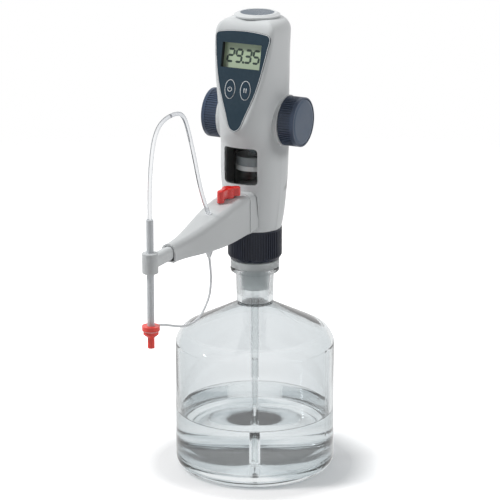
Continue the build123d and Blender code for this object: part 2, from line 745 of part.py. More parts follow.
def pinion_tooth_outline():
    """One involute tooth that points along +X, as a closed sketch."""
    pressure = radians(20)
    base = PITCH_RADIUS * cos(pressure)
    tip = PITCH_RADIUS + GEAR_MODULE * 0.9
    root = PITCH_RADIUS - GEAR_MODULE * 1.2
    half_at_pitch = (TOOTH_PITCH / 2 - TOOTH_BACKLASH) / 2 / PITCH_RADIUS
    roll_at_pitch = tan(pressure) - pressure
    flank = []
    steps = 5
    for i in range(steps + 1):
        r = base + (tip - base) * i / steps
        roll = sqrt(max((r / base) ** 2 - 1, 0))
        involute = roll - atan_of(roll)
        angle = half_at_pitch + roll_at_pitch - involute
        flank.append((r * cos(angle), r * sin(angle)))
    first = flank[0]
    foot_angle = half_at_pitch + roll_at_pitch
    foot = (root * cos(foot_angle) * 0.98, root * sin(foot_angle) * 0.98)
    upper = [foot, first] + flank[1:]
    lower = [(x, -y) for x, y in reversed(upper)]
    return make_face(Polyline([(x, y, 0) for x, y in upper + lower], close=True))


def atan_of(value):
    """Arc tangent, from the angle of a vector."""
    return radians(Vector(1, 0, 0).get_angle(Vector(1, value, 0)))


def drive_pinion():
    """Involute pinion on the shaft, with a gap between two teeth that faces the rack."""
    root = PITCH_RADIUS - GEAR_MODULE * 1.2
    tooth = pinion_tooth_outline()
    outline = Circle(root)
    for i in range(PINION_TEETH):
        outline = outline + Rot(0, 0, 360 * (i + 0.5) / PINION_TEETH) * tooth
    wheel = extrude(outline, PINION_WIDTH) - Cylinder(SHAFT_RADIUS + SEAT_GAP, PINION_WIDTH * 4)
    turned_wheel = Rot(0, 0, 180) * wheel
    plane = Plane(
        origin=(-PINION_WIDTH / 2, DRIVE_Y, DRIVE_Z), x_dir=(0, 1, 0), z_dir=(1, 0, 0)
    )
    return plane * turned_wheel


def piston_rod():
    """Square rod with rack teeth on its rear side."""
    root_y = RACK_PITCH_Y - GEAR_MODULE * 1.2
    tip_y = RACK_PITCH_Y + GEAR_MODULE * 0.9
    low = PISTON_REST + SEAL_HEIGHT + PISTON_HEAD_HEIGHT
    half = ROD_WIDTH / 2
    rod = block(-half, half, -ROD_DEPTH, root_y, low, ROD_TOP)
    slope = tan(radians(20))
    half_at_pitch = (TOOTH_PITCH / 2 - TOOTH_BACKLASH) / 2
    half_tip = half_at_pitch - GEAR_MODULE * 0.9 * slope
    half_root = half_at_pitch + GEAR_MODULE * 1.2 * slope
    middle = DRIVE_Z - RACK_TOOTH_SHIFT * TOOTH_PITCH
    outline = [
        (0, root_y - 0.2, -half_root),
        (0, root_y, -half_root),
        (0, tip_y, -half_tip),
        (0, tip_y, half_tip),
        (0, root_y, half_root),
        (0, root_y - 0.2, half_root),
    ]
    tooth = extrude(make_face(Polyline(outline, close=True)), half, both=True, dir=(1, 0, 0))
    teeth = [
        Pos(0, 0, middle + (i - RACK_TEETH / 2) * TOOTH_PITCH) * tooth
        for i in range(RACK_TEETH + 1)
    ]
    return rod + teeth


def piston_head():
    low = PISTON_REST + SEAL_HEIGHT
    return cylinder(PISTON_HEAD_RADIUS, low, low + PISTON_HEAD_HEIGHT)


def piston_seal():
    """Cup seal with a lip that wipes the glass."""
    radius = CYLINDER_BORE_RADIUS - SEAL_GAP
    high = PISTON_REST + SEAL_HEIGHT
    seal = cylinder(radius, PISTON_REST, high)
    return seal - cylinder(radius - SEAL_LIP, PISTON_REST - 1, PISTON_REST + SEAL_LIP_DEPTH)


def drive_shaft():
    return cross_cylinder(SHAFT_RADIUS, -SHAFT_HALF_LENGTH, SHAFT_HALF_LENGTH)


def shaft_bushes():
    """Two flangeless bushes pressed into the housing's bosses."""
    bushes = []
    for side in (-1, 1):
        inner = side * (BOSS_FACE - BUSH_LENGTH)
        outer = side * BOSS_FACE
        low, high = min(inner, outer), max(inner, outer)
        bush = cross_cylinder(BUSH_RADIUS, low, high)
        bushes.append(bush - cross_cylinder(SHAFT_RADIUS + RUNNING_GAP, low - 1, high + 1))
    return Compound(children=bushes)


def handwheel():
    """Right-hand wheel: a ribbed rim, a web and a hub, with a seat for its cap."""
    wheel = cross_cylinder(WHEEL_RADIUS, WHEEL_INNER_FACE, WHEEL_OUTER_FACE)
    outer_edge = wheel.edges().filter_by(GeomType.CIRCLE).sort_by(Axis.X)[-1]
    wheel = fillet(outer_edge, WHEEL_EDGE_ROUNDING)
    cap_floor = WHEEL_OUTER_FACE - WHEEL_CAP_SEAT
    wheel = wheel - cross_cylinder(WHEEL_CAP_RADIUS + WHEEL_CAP_GROOVE, cap_floor, 60)
    hollow = cross_cylinder(
        WHEEL_RADIUS - WHEEL_RIM, WHEEL_INNER_FACE - 1, cap_floor - WHEEL_WEB
    )
    hub = cross_cylinder(WHEEL_HUB_RADIUS, WHEEL_INNER_FACE - 2, cap_floor)
    wheel = wheel - (hollow - hub)
    wheel = wheel - cross_cylinder(SHAFT_RADIUS + SEAT_GAP, 0, SHAFT_HALF_LENGTH + SEAT_GAP)
    width = pi * WHEEL_RADIUS / WHEEL_RIB_COUNT
    length = WHEEL_RIB_END - WHEEL_INNER_FACE + 2
    groove = Pos(WHEEL_INNER_FACE - 2 + length / 2, 0, WHEEL_RADIUS) * Box(
        length, width, WHEEL_RIB_DEPTH * 2
    )
    place = Pos(0, DRIVE_Y, DRIVE_Z)
    grooves = [
        place * Rot(360 * i / WHEEL_RIB_COUNT, 0, 0) * groove for i in range(WHEEL_RIB_COUNT)
    ]
    return wheel - grooves


def wheel_cap():
    """Smooth disc with a bevelled border in the face of the right-hand wheel."""
    low = WHEEL_OUTER_FACE - WHEEL_CAP_SEAT
    disc = cross_cylinder(WHEEL_CAP_RADIUS, low, WHEEL_OUTER_FACE + WHEEL_CAP_DOME / 2)
    border = disc.edges().filter_by(GeomType.CIRCLE).sort_by(Axis.X)[-1]
    return chamfer(border, WHEEL_CAP_DOME, WHEEL_CAP_BORDER)


# Measuring cylinder, clamps and valve block

def glass_cylinder():
    return tube(
        CYLINDER_BORE_RADIUS + CYLINDER_WALL, CYLINDER_BORE_RADIUS, CYLINDER_FLOOR, CYLINDER_TOP
    )


def inner_plate(low, thickness, hole):
    """Plate across the inside of the housing, a little clear of its wall."""
    _, half_width, centre_y, _, _ = HOUSING_STATIONS[INNER_PLATE_STATION]
    radius = half_width - HOUSING_WALL - SEAT_GAP * 2
    disc = cylinder(radius, low, low + thickness, 0, centre_y)
    slab = block(-60, 60, INNER_PLATE_FRONT_Y, HOUSING_SPLIT_Y, low, low + thickness)
    return (disc & slab) - hole


def cylinder_clamp():
    hole = cylinder(
        CYLINDER_BORE_RADIUS + CYLINDER_WALL + SEAT_GAP, CLAMP_BOTTOM - 1, CLAMP_BOTTOM + 9
    )
    return inner_plate(CLAMP_BOTTOM, CLAMP_THICKNESS, hole)


def rod_guide():
    half = ROD_WIDTH / 2 + RUNNING_GAP
    hole = block(
        -half, half, -ROD_DEPTH - RUNNING_GAP, RACK_PITCH_Y + GEAR_MODULE + MOVING_GAP,
        GUIDE_BOTTOM - 1, GUIDE_BOTTOM + 9,
    )
    return inner_plate(GUIDE_BOTTOM, GUIDE_THICKNESS, hole)


def along_y(radius, near, far, z=BRANCH_Z):
    """Cylinder along Y in the plane x = 0."""
    return Pos(0, (near + far) / 2, z) * Rot(90, 0, 0) * Cylinder(radius, abs(far - near))


def valve_block():
    """Block under the cylinder with a branch into the arm and a turret for the valve spindle."""
    body = cylinder(BLOCK_SPIGOT_RADIUS, BLOCK_BOTTOM, BLOCK_FLANGE_BOTTOM)
    flange_top = BLOCK_FLANGE_BOTTOM + BLOCK_FLANGE_HEIGHT
    body = body + cylinder(BLOCK_FLANGE_RADIUS, BLOCK_FLANGE_BOTTOM, flange_top)
    body = body + cylinder(BLOCK_RADIUS, flange_top, CYLINDER_FLOOR)
    body = body + along_y(BRANCH_RADIUS, 0, BRANCH_END_Y)
    body = body + cylinder(
        TURRET_RADIUS, BRANCH_Z - TURRET_BELOW_BRANCH, BRANCH_Z + TURRET_ABOVE_BRANCH, 0, TOGGLE_Y
    )
    # Passages
    body = body - cylinder(BLOCK_PASSAGE_RADIUS, BLOCK_BOTTOM - 1, CYLINDER_FLOOR + 1)
    body = body - along_y(BLOCK_PASSAGE_RADIUS * 0.8, -1, BRANCH_END_Y - 1)
    insert = VALVE_INSERT_RADIUS + SEAT_GAP
    suction_top = BLOCK_BOTTOM + FILLING_SOCKET + VALVE_INSERT_LENGTH
    body = body - cylinder(insert, BLOCK_BOTTOM + FILLING_SOCKET, suction_top)
    body = body - cylinder(FILLING_RADIUS + SEAT_GAP, BLOCK_BOTTOM - 1, BLOCK_BOTTOM + FILLING_SOCKET)
    body = body - along_y(insert, DISCHARGE_Y, DISCHARGE_Y - VALVE_INSERT_LENGTH)
    body = body - cylinder(
        RETURN_RADIUS + SEAT_GAP, BLOCK_BOTTOM - 1, BLOCK_BOTTOM + FILLING_SOCKET,
        RETURN_OFFSET, 0,
    )
    spindle = SPINDLE_RADIUS + RUNNING_GAP
    return body - cylinder(spindle, SPINDLE_BOTTOM, BRANCH_Z + 20, 0, TOGGLE_Y)


def valve_insert():
    """Valve cage along Z from z = 0 up, with a seat below the ball's chamber."""
    cage = cylinder(VALVE_INSERT_RADIUS, 0, VALVE_INSERT_LENGTH)
    cage = cage - cylinder(BLOCK_PASSAGE_RADIUS - 0.4, -1, VALVE_INSERT_LENGTH + 1)
    chamber_top = BALL_SEAT + 2 * BALL_RADIUS + BALL_LIFT + 0.4
    return cage - cylinder(BALL_RADIUS + MOVING_GAP, BALL_SEAT, chamber_top)


def valve_ball():
    return Pos(0, 0, BALL_SEAT + BALL_RADIUS + 0.05) * Sphere(BALL_RADIUS)


def valve_spindle():
    """Spindle from the valve block up through the arm, with a cross passage."""
    top = TOGGLE_BASE + TOGGLE_SEAT_DEPTH
    spindle = cylinder(SPINDLE_RADIUS, SPINDLE_BOTTOM + 0.2, top, 0, TOGGLE_Y)
    return spindle - along_y(1.2, TOGGLE_Y - 9, TOGGLE_Y + 9)


def wing(length):
    """Upright wing from the hub's centre towards -Y, with a round end."""
    radius = TOGGLE_WING_WIDTH / 2
    low = TOGGLE_BASE + TOGGLE_WING_LIFT
    high = TOGGLE_BASE + TOGGLE_HEIGHT
    straight = block(-radius, radius, radius - length, 0, low, high)
    return straight + cylinder(radius, low, high, 0, radius - length)


def valve_toggle():
    """Red knob: a hub, a lever along the arm with a toe at its end, and a short pointer."""
    lever = wing(TOGGLE_LEVER_LENGTH)
    pointer = Rot(0, 0, 90 + TOGGLE_POINTER_ANGLE) * wing(TOGGLE_POINTER_LENGTH)
    knob = cylinder(TOGGLE_HUB_RADIUS, TOGGLE_BASE, TOGGLE_BASE + TOGGLE_HEIGHT)
    knob = knob + lever + pointer
    top_edges = knob.faces().sort_by(Axis.Z)[-1].edges()
    knob = fillet(top_edges, TOGGLE_ROUNDING)
    shift = Pos(0, 0, -TOGGLE_TOE_DROP - TOGGLE_WING_LIFT)
    toe = (shift * lever) & block(
        -20, 20, -30, -TOGGLE_TOE_START, TOGGLE_BASE - 5, TOGGLE_BASE + TOGGLE_WING_LIFT + 1
    )
    bore = cylinder(
        SPINDLE_RADIUS + SEAT_GAP, TOGGLE_BASE - 1, TOGGLE_BASE + TOGGLE_SEAT_DEPTH + SEAT_GAP
    )
    return Pos(0, TOGGLE_Y, 0) * (knob + toe - bore)


# Arm, rod and titrating tube

def arm_shell():
    """Hollow tapered arm with a raised collar where it meets the housing."""
    inner = arm_solid(ARM_WALL, 1.0)
    shell = arm_solid() - inner
    collar = (arm_solid(-ARM_COLLAR_STEP) - inner) & block(
        -40, 40, ARM_COLLAR_END_Y, ARM_COLLAR_START_Y, 200, 320
    )
    shell = shell + collar
    spindle_hole = cylinder(SPINDLE_RADIUS + MOVING_GAP, 285, 300, 0, TOGGLE_Y)
    return shell - spindle_hole - nipple_solid(SEAT_GAP)


def nipple_direction():
    (y0, z0), (y1, z1) = HOSE_ARM_ROUTE[-2], HOSE_ARM_ROUTE[-1]
    return Vector(0, y1 - y0, z1 - z0).normalized()


def nipple_solid(margin=0.0):
    """Slanted nipple in line with the end of the hose."""
    y, z = HOSE_ARM_ROUTE[-1]
    plane = Plane(origin=(0, y, z), x_dir=(1, 0, 0), z_dir=nipple_direction())
    return extrude(plane * Circle(NIPPLE_RADIUS + margin), NIPPLE_LENGTH)


def extension_rod():
    """Flat-sided rod that slides in the arm and ends in the tube holder."""
    front = TIP_Y + HOLDER_RADIUS - 2
    return flat_sided(EXTENSION_WIDTH, EXTENSION_HEIGHT, EXTENSION_CORNER, EXTENSION_BACK_Y, front)


def flat_sided(width, height, corner, back, front):
    """Bar along Y with a rounded rectangular section, centred on the rod's height."""
    plane = Plane(origin=(0, back, EXTENSION_Z), x_dir=(1, 0, 0), z_dir=(0, -1, 0))
    return extrude(plane * RectangleRounded(width, height, corner), back - front)


def cannula_holder():
    """Round holder with a bore for the titrating tube and a socket for the rod."""
    holder = cylinder(HOLDER_RADIUS, HOLDER_BOTTOM, HOLDER_TOP, 0, TIP_Y)
    holder = chamfer(holder.edges().filter_by(GeomType.CIRCLE), HOLDER_CHAMFER)
    holder = holder - cylinder(TUBE_RADIUS + RUNNING_GAP, HOLDER_BOTTOM - 1, HOLDER_TOP + 1, 0, TIP_Y)
    return holder - extension_rod()


def cannula_tube():
    """Titrating tube with a narrow outlet tip."""
    body = cylinder(TUBE_RADIUS, TUBE_BOTTOM, TUBE_TOP, 0, TIP_Y)
    body = body + cylinder(TIP_RADIUS, TUBE_BOTTOM - TIP_LENGTH, TUBE_BOTTOM, 0, TIP_Y)
    body = body - cylinder(TUBE_BORE_RADIUS, TUBE_BOTTOM + 4, TUBE_TOP + 1, 0, TIP_Y)
    return body - cylinder(TIP_BORE_RADIUS, TUBE_BOTTOM - TIP_LENGTH - 1, TUBE_BOTTOM + 5, 0, TIP_Y)


def tip_cap():
    """Screw cap with two flanges and a closed nozzle over the outlet tip."""
    upper_low = CAP_FLANGE_TOP - CAP_FLANGE_HEIGHT
    groove_low = upper_low - CAP_GROOVE_HEIGHT
    lower_low = groove_low - CAP_LOWER_FLANGE_HEIGHT
    nozzle_top = lower_low - CAP_CONE_HEIGHT
    bore = TUBE_RADIUS + RUNNING_GAP
    tip_bore = TIP_RADIUS + MOVING_GAP
    tip_bottom = TUBE_BOTTOM - TIP_LENGTH - 1
    cap = turned([
        (0, CAP_BOTTOM),
        (CAP_NOZZLE_RADIUS, CAP_BOTTOM),
        (CAP_NOZZLE_RADIUS, nozzle_top),
        (CAP_LOWER_FLANGE_RADIUS, lower_low),
        (CAP_LOWER_FLANGE_RADIUS, groove_low),
        (CAP_GROOVE_RADIUS, groove_low),
        (CAP_GROOVE_RADIUS, upper_low),
        (CAP_FLANGE_RADIUS, upper_low),
        (CAP_FLANGE_RADIUS, CAP_FLANGE_TOP),
        (bore, CAP_FLANGE_TOP),
        (bore, TUBE_BOTTOM - 0.1),
        (tip_bore, TUBE_BOTTOM - 0.1),
        (tip_bore, tip_bottom),
        (0, tip_bottom),
    ])
    return Pos(0, TIP_Y, 0) * cap


# Tubes into the bottle

def filling_tube_upper():
    return tube(
        FILLING_RADIUS, FILLING_RADIUS - FILLING_WALL,
        FILLING_UPPER_BOTTOM, BLOCK_BOTTOM + FILLING_SOCKET,
    )


def filling_tube_lower():
    """Sliding lower length with a slanted end."""
    radius = FILLING_RADIUS - FILLING_WALL - RUNNING_GAP
    lower = tube(radius, radius - FILLING_LOWER_WALL, FILLING_LOWER_BOTTOM, FILLING_LOWER_TOP)
    slant = Pos(0, 0, FILLING_LOWER_BOTTOM - 4) * Rot(0, 45, 0) * Box(30, 20, 5)
    return lower - slant


def return_tube():
    return tube(
        RETURN_RADIUS, RETURN_RADIUS - RETURN_WALL, RETURN_BOTTOM,
        BLOCK_BOTTOM + FILLING_SOCKET, RETURN_OFFSET, 0,
    )


# Hose and strap

def soft_length(route, diameter, name):
    """Round length along straight runs joined by tangent arcs, with the arcs' radii printed."""
    points = [Vector(0, y, z) for y, z in route]
    radii = []
    for before, here, after in zip(points, points[1:], points[2:]):
        turn = (here - before).get_angle(after - here)
        shorter = min((here - before).length, (after - here).length)
        radii.append(0.45 * shorter / tan(radians(turn) / 2))
    path = FilletPolyline(points, radius=radii)
    start = Plane(origin=points[0], z_dir=(points[1] - points[0]).normalized())
    solid = sweep(start * Circle(diameter / 2), path=path)
    expected = pi * diameter ** 2 / 4 * path.length
    shown = [round(r, 1) for r in radii]
    print(name, "radii", shown, "length", round(path.length, 2), "volume ratio",
          round(solid.volume / expected, 4))
    return solid


def strap_anchor():
    """Web under the arm that narrows down to the strap."""
    y, z = STRAP_UPPER_ROUTE[0]
    high = ARM_STATIONS[2][2] + ANCHOR_SINK
    top = Plane(origin=(0, y, high)) * Rectangle(ANCHOR_WIDTH, ANCHOR_LENGTH)
    start = Vector(0, *STRAP_UPPER_ROUTE[1]) - Vector(0, y, z)
    foot_plane = Plane(origin=(0, y, z), x_dir=(1, 0, 0), z_dir=-start.normalized())
    foot = foot_plane * Rectangle(ANCHOR_FOOT, ANCHOR_FOOT)
    return loft([foot.face(), top.face()]) - arm_solid(-SEAT_GAP)


# Build

front, rear, cover, pane = housing_parts()
right_wheel = handwheel()
right_cap = wheel_cap()

PARTS = {
    "reagent_bottle": reagent_bottle(),
    "neck_adapter": neck_adapter(),
    "sealing_ring": sealing_ring(),
    "knurled_ring": knurled_ring(),
    "housing_front": front,
    "housing_rear": rear,
    "battery_cover": cover,
    "window_pane": pane,
    "top_cap": top_cap(),
    "top_inlay": top_inlay(),
    "display_panel": display_panel(),
    "lcd_bezel": lcd_bezel(),
    "lcd_cell": lcd_cell(),
    "key_power": key(-1),
    "key_pause": key(1),
    "circuit_board": circuit_board(),
    "batteries": batteries(),
    "battery_holder": battery_holder(),
    "drive_shaft": drive_shaft(),
    "drive_pinion": drive_pinion(),
    "shaft_bushes": shaft_bushes(),
    "handwheel_right": right_wheel,
    "handwheel_left": mirror(right_wheel, about=Plane.YZ),
    "wheel_cap_right": right_cap,
    "wheel_cap_left": mirror(right_cap, about=Plane.YZ),
    "piston_rod": piston_rod(),
    "piston_head": piston_head(),
    "piston_seal": piston_seal(),
    "glass_cylinder": glass_cylinder(),
    "cylinder_clamp": cylinder_clamp(),
    "rod_guide": rod_guide(),
    "valve_block": valve_block(),
    "suction_valve_cage": SUCTION_PLACE * valve_insert(),
    "suction_valve_ball": SUCTION_PLACE * valve_ball(),
    "discharge_valve_cage": DISCHARGE_PLACE * valve_insert(),
    "discharge_valve_ball": DISCHARGE_PLACE * valve_ball(),
    "valve_spindle": valve_spindle(),
    "valve_toggle": valve_toggle(),
    "arm_shell": arm_shell(),
    "hose_nipple": nipple_solid(),
    "extension_rod": extension_rod(),
    "cannula_holder": cannula_holder(),
    "cannula_tube": cannula_tube(),
    "tip_cap": tip_cap(),
    "filling_tube_upper": filling_tube_upper(),
    "filling_tube_lower": filling_tube_lower(),
    "return_tube": return_tube(),
    "hose_arm_length": soft_length(HOSE_ARM_ROUTE, HOSE_DIAMETER, "hose_arm_length"),
    "hose_tip_length": soft_length(HOSE_TIP_ROUTE, HOSE_DIAMETER, "hose_tip_length"),
    "strap_anchor": strap_anchor(),
    "strap_upper": soft_length(STRAP_UPPER_ROUTE, STRAP_DIAMETER, "strap_upper"),
    "strap_middle": soft_length(STRAP_MIDDLE_ROUTE, STRAP_DIAMETER, "strap_middle"),
    "strap_lower": soft_length(STRAP_LOWER_ROUTE, STRAP_DIAMETER, "strap_lower"),
}

for name, shape in PARTS.items():
    save(shape, name)
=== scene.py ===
import bmesh
import bpy
from math import cos, pi, radians, sin, sqrt
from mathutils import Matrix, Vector


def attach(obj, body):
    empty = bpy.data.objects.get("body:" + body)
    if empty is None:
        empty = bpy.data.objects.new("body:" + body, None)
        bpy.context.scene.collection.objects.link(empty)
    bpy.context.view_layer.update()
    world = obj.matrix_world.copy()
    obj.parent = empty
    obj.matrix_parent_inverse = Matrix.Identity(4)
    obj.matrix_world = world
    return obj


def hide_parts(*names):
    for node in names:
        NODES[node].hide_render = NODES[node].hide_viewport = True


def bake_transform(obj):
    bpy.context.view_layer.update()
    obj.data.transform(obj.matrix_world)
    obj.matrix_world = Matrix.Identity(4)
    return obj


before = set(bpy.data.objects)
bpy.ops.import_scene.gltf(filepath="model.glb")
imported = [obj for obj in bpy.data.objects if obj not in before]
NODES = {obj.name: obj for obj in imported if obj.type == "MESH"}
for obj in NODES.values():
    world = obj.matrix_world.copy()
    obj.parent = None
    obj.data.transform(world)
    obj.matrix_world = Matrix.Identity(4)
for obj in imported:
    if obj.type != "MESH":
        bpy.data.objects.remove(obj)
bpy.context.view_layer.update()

# Sizes shared with the solids, in metres
FACE_TILT = radians(12.5)
FACE_ORIGIN = Vector((0.0, -0.0456, 0.356))
FACE_NORMAL = Vector((0.0, -cos(FACE_TILT), sin(FACE_TILT)))
FACE_UP = Vector((0.0, sin(FACE_TILT), cos(FACE_TILT)))
PANEL_FRONT = -0.0003
LCD_CENTRE = 0.0734
LCD_DEPTH = 0.0054
KEY_CENTRE = 0.0406
KEY_SIDE = 0.0083
KEY_FRONT = -0.0009
BOTTLE_INSIDE = 0.076
BOTTLE_FLOOR = 0.0065
FOOT_INSIDE = 0.0084
LIQUID_LEVEL = 0.0595
SHELL_CENTRE_Y = 0.0045
SHELL_INSIDE = 0.0303
TIP_Y = -0.213
CAP_GROOVE_Z = 0.203


# Camera at the photograph's place

AZIMUTH = radians(27.0)
ELEVATION = radians(16.35)
DISTANCE = 2.541
VIEW_CENTRE = Vector((0.0, 0.0, 0.225))
SIDE_STEP = -0.00488

back = Vector((
    sin(AZIMUTH) * cos(ELEVATION),
    -cos(AZIMUTH) * cos(ELEVATION),
    sin(ELEVATION),
))
right = Vector((cos(AZIMUTH), sin(AZIMUTH), 0.0))
camera_data = bpy.data.cameras.new("camera")
camera_data.lens = 183.6
camera_data.sensor_width = 36.0
camera_data.clip_end = 20.0
camera = bpy.data.objects.new("camera", camera_data)
bpy.context.collection.objects.link(camera)
camera.location = VIEW_CENTRE + back * DISTANCE + right * SIDE_STEP
camera.rotation_mode = "QUATERNION"
camera.rotation_quaternion = (-back).to_track_quat("-Z", "Y")
bpy.context.scene.camera = camera
bpy.context.scene.view_settings.view_transform = "Standard"


# Materials

def srgb(r, g, b):
    """Linear colour of an 8-bit one."""
    def channel(v):
        v = v / 255.0
        return v / 12.92 if v <= 0.04045 else ((v + 0.055) / 1.055) ** 2.4
    return (channel(r), channel(g), channel(b), 1.0)


class Build:
    """Node tree of one material, with the few steps that most of them share."""

    def __init__(self, name):
        self.material = bpy.data.materials.new(name)
        self.material.use_nodes = True
        self.tree = self.material.node_tree
        self.shader = self.tree.nodes["Principled BSDF"]
        self.output = self.tree.nodes["Material Output"]
        self.coords = self.add("ShaderNodeTexCoord").outputs["Object"]

    def add(self, kind, **values):
        node = self.tree.nodes.new(kind)
        for key, value in values.items():
            setattr(node, key, value)
        return node

    def link(self, a, b):
        self.tree.links.new(a, b)

    def set(self, **values):
        for key, value in values.items():
            self.shader.inputs[key.replace("_", " ").title().replace("Ior", "IOR")].default_value = value

    def scaled(self, scale):
        mapping = self.add("ShaderNodeMapping")
        mapping.inputs["Scale"].default_value = scale
        self.link(self.coords, mapping.inputs["Vector"])
        return mapping.outputs["Vector"]

    def noise(self, scale, detail=3.0, roughness=0.5, vector=None):
        node = self.add("ShaderNodeTexNoise")
        node.inputs["Scale"].default_value = scale
        node.inputs["Detail"].default_value = detail
        node.inputs["Roughness"].default_value = roughness
        self.link(vector or self.coords, node.inputs["Vector"])
        return node.outputs["Fac"]

    def ramp(self, value, stops):
        node = self.add("ShaderNodeValToRGB")
        elements = node.color_ramp.elements
        while len(elements) < len(stops):
            elements.new(0.5)
        for element, (place, colour) in zip(elements, stops):
            element.position = place
            element.color = colour
        self.link(value, node.inputs["Fac"])
        return node.outputs["Color"]

    def span(self, value, low, high, to_low, to_high):
        node = self.add("ShaderNodeMapRange")
        node.inputs["From Min"].default_value = low
        node.inputs["From Max"].default_value = high
        node.inputs["To Min"].default_value = to_low
        node.inputs["To Max"].default_value = to_high
        self.link(value, node.inputs["Value"])
        return node.outputs["Result"]

    def math(self, operation, a, b):
        node = self.add("ShaderNodeMath", operation=operation)
        for place, value in enumerate((a, b)):
            if isinstance(value, (int, float)):
                node.inputs[place].default_value = value
            else:
                self.link(value, node.inputs[place])
        return node.outputs["Value"]

    def mix(self, fac, a, b, mode="MIX"):
        node = self.add("ShaderNodeMix", data_type="RGBA", blend_type=mode)
        for socket, value in ((node.inputs[0], fac), (node.inputs[6], a), (node.inputs[7], b)):
            if isinstance(value, (int, float, tuple)):
                socket.default_value = value
            else:
                self.link(value, socket)
        return node.outputs[2]

    def axis(self, name):
        node = self.add("ShaderNodeSeparateXYZ")
        self.link(self.coords, node.inputs["Vector"])
        return node.outputs[name]

    def bump(self, height, strength, distance):
        node = self.add("ShaderNodeBump")
        node.inputs["Strength"].default_value = strength
        node.inputs["Distance"].default_value = distance
        self.link(height, node.inputs["Height"])
        self.link(node.outputs["Normal"], self.shader.inputs["Normal"])
        return node

    def edge(self, low, high):
        """1 on sharp outer edges, 0 on flat places."""
        geometry = self.add("ShaderNodeNewGeometry")
        return self.span(geometry.outputs["Pointiness"], low, high, 0.0, 1.0)

    def wear(self, colour, worn, dust_and_shade):
        """Lighter worn edges, and darker hollows, partly dusty and partly painted shade."""
        grain = self.noise(320.0, 4.0, 0.6)
        edges = self.math("MULTIPLY", self.edge(0.53, 0.60), grain)
        # Hollows: partly dusty, partly painted shade where less light falls
        hollows = self.math("MULTIPLY", self.edge(0.47, 0.40), grain)
        colour = self.mix(self.math("MULTIPLY", edges, 0.55), colour, worn)
        return self.mix(self.math("MULTIPLY", hollows, 0.5), colour, dust_and_shade)


def plastic(
    name, tone, roughness=0.42, spread=0.05, grain=0.12, grain_scale=2600.0, coat=0.0,
    hollow_dust_and_shade=0.72, shine=0.5, painted_inner_shade=1.0,
):
    """Moulded plastic with a fine spark texture, faint flow marks, handling marks, worn edges and darker
    hollows (partly painted shade); where asked, painted shade darkens the inside of the shells near the
    window.
    """
    b = Build(name)
    low = tuple(c * (1 - spread) for c in tone[:3]) + (1.0,)
    high = tuple(min(1.0, c * (1 + spread)) for c in tone[:3]) + (1.0,)
    flow = b.noise(14.0, 2.0, 0.45, b.scaled((1.0, 1.0, 0.35)))
    colour = b.ramp(flow, [(0.3, low), (0.7, high)])
    worn = tuple(min(1.0, c * 1.35 + 0.03) for c in tone[:3]) + (1.0,)
    # Tone of the hollows: dusty, and painted shade; set very dark on the wheels and the ring
    dust_and_shade = tuple(c * hollow_dust_and_shade for c in tone[:3]) + (1.0,)
    colour = b.wear(colour, worn, dust_and_shade)
    # Painted shade on the inside of the shells near the window, where little light gets in
    if painted_inner_shade < 1.0:
        from_axis = b.add("ShaderNodeVectorMath", operation="DISTANCE")
        b.link(b.scaled((1.0, 1.0, 0.0)), from_axis.inputs[0])
        from_axis.inputs[1].default_value = (0.0, SHELL_CENTRE_Y, 0.0)
        inside = b.span(from_axis.outputs["Value"], SHELL_INSIDE + 0.0004, SHELL_INSIDE - 0.0004, 0.0, 1.0)
        low = b.span(b.axis("Z"), 0.345, 0.352, 1.0, 0.0)
        high = b.span(b.axis("Z"), 0.288, 0.292, 0.0, 1.0)
        inside = b.math("MULTIPLY", inside, b.math("MULTIPLY", low, high))
        shaded = tuple(c * painted_inner_shade for c in tone[:3]) + (1.0,)
        colour = b.mix(inside, colour, shaded)
    b.link(colour, b.shader.inputs["Base Color"])
    handled = b.noise(38.0, 5.0, 0.62)
    b.link(b.span(handled, 0.35, 0.7, roughness - 0.07, roughness + 0.08), b.shader.inputs["Roughness"])
    b.set(ior=1.5, specular_ior_level=shine, coat_weight=coat, coat_roughness=0.12)
    b.bump(b.noise(grain_scale, 2.0, 0.5), grain, 0.00012)
    return b


def clear_shadow(b, tint, amount):
    """Lets light through to what lies behind, so that clear pieces throw a light shadow."""
    path = b.add("ShaderNodeLightPath")
    clear = b.add("ShaderNodeBsdfTransparent")
    clear.inputs["Color"].default_value = tint
    mixed = b.add("ShaderNodeMixShader")
    shadow = b.math("MAXIMUM", path.outputs["Is Shadow Ray"], path.outputs["Is Diffuse Ray"])
    b.link(b.math("MULTIPLY", shadow, amount), mixed.inputs["Fac"])
    b.link(b.shader.outputs["BSDF"], mixed.inputs[1])
    b.link(clear.outputs["BSDF"], mixed.inputs[2])
    b.link(mixed.outputs["Shader"], b.output.inputs["Surface"])


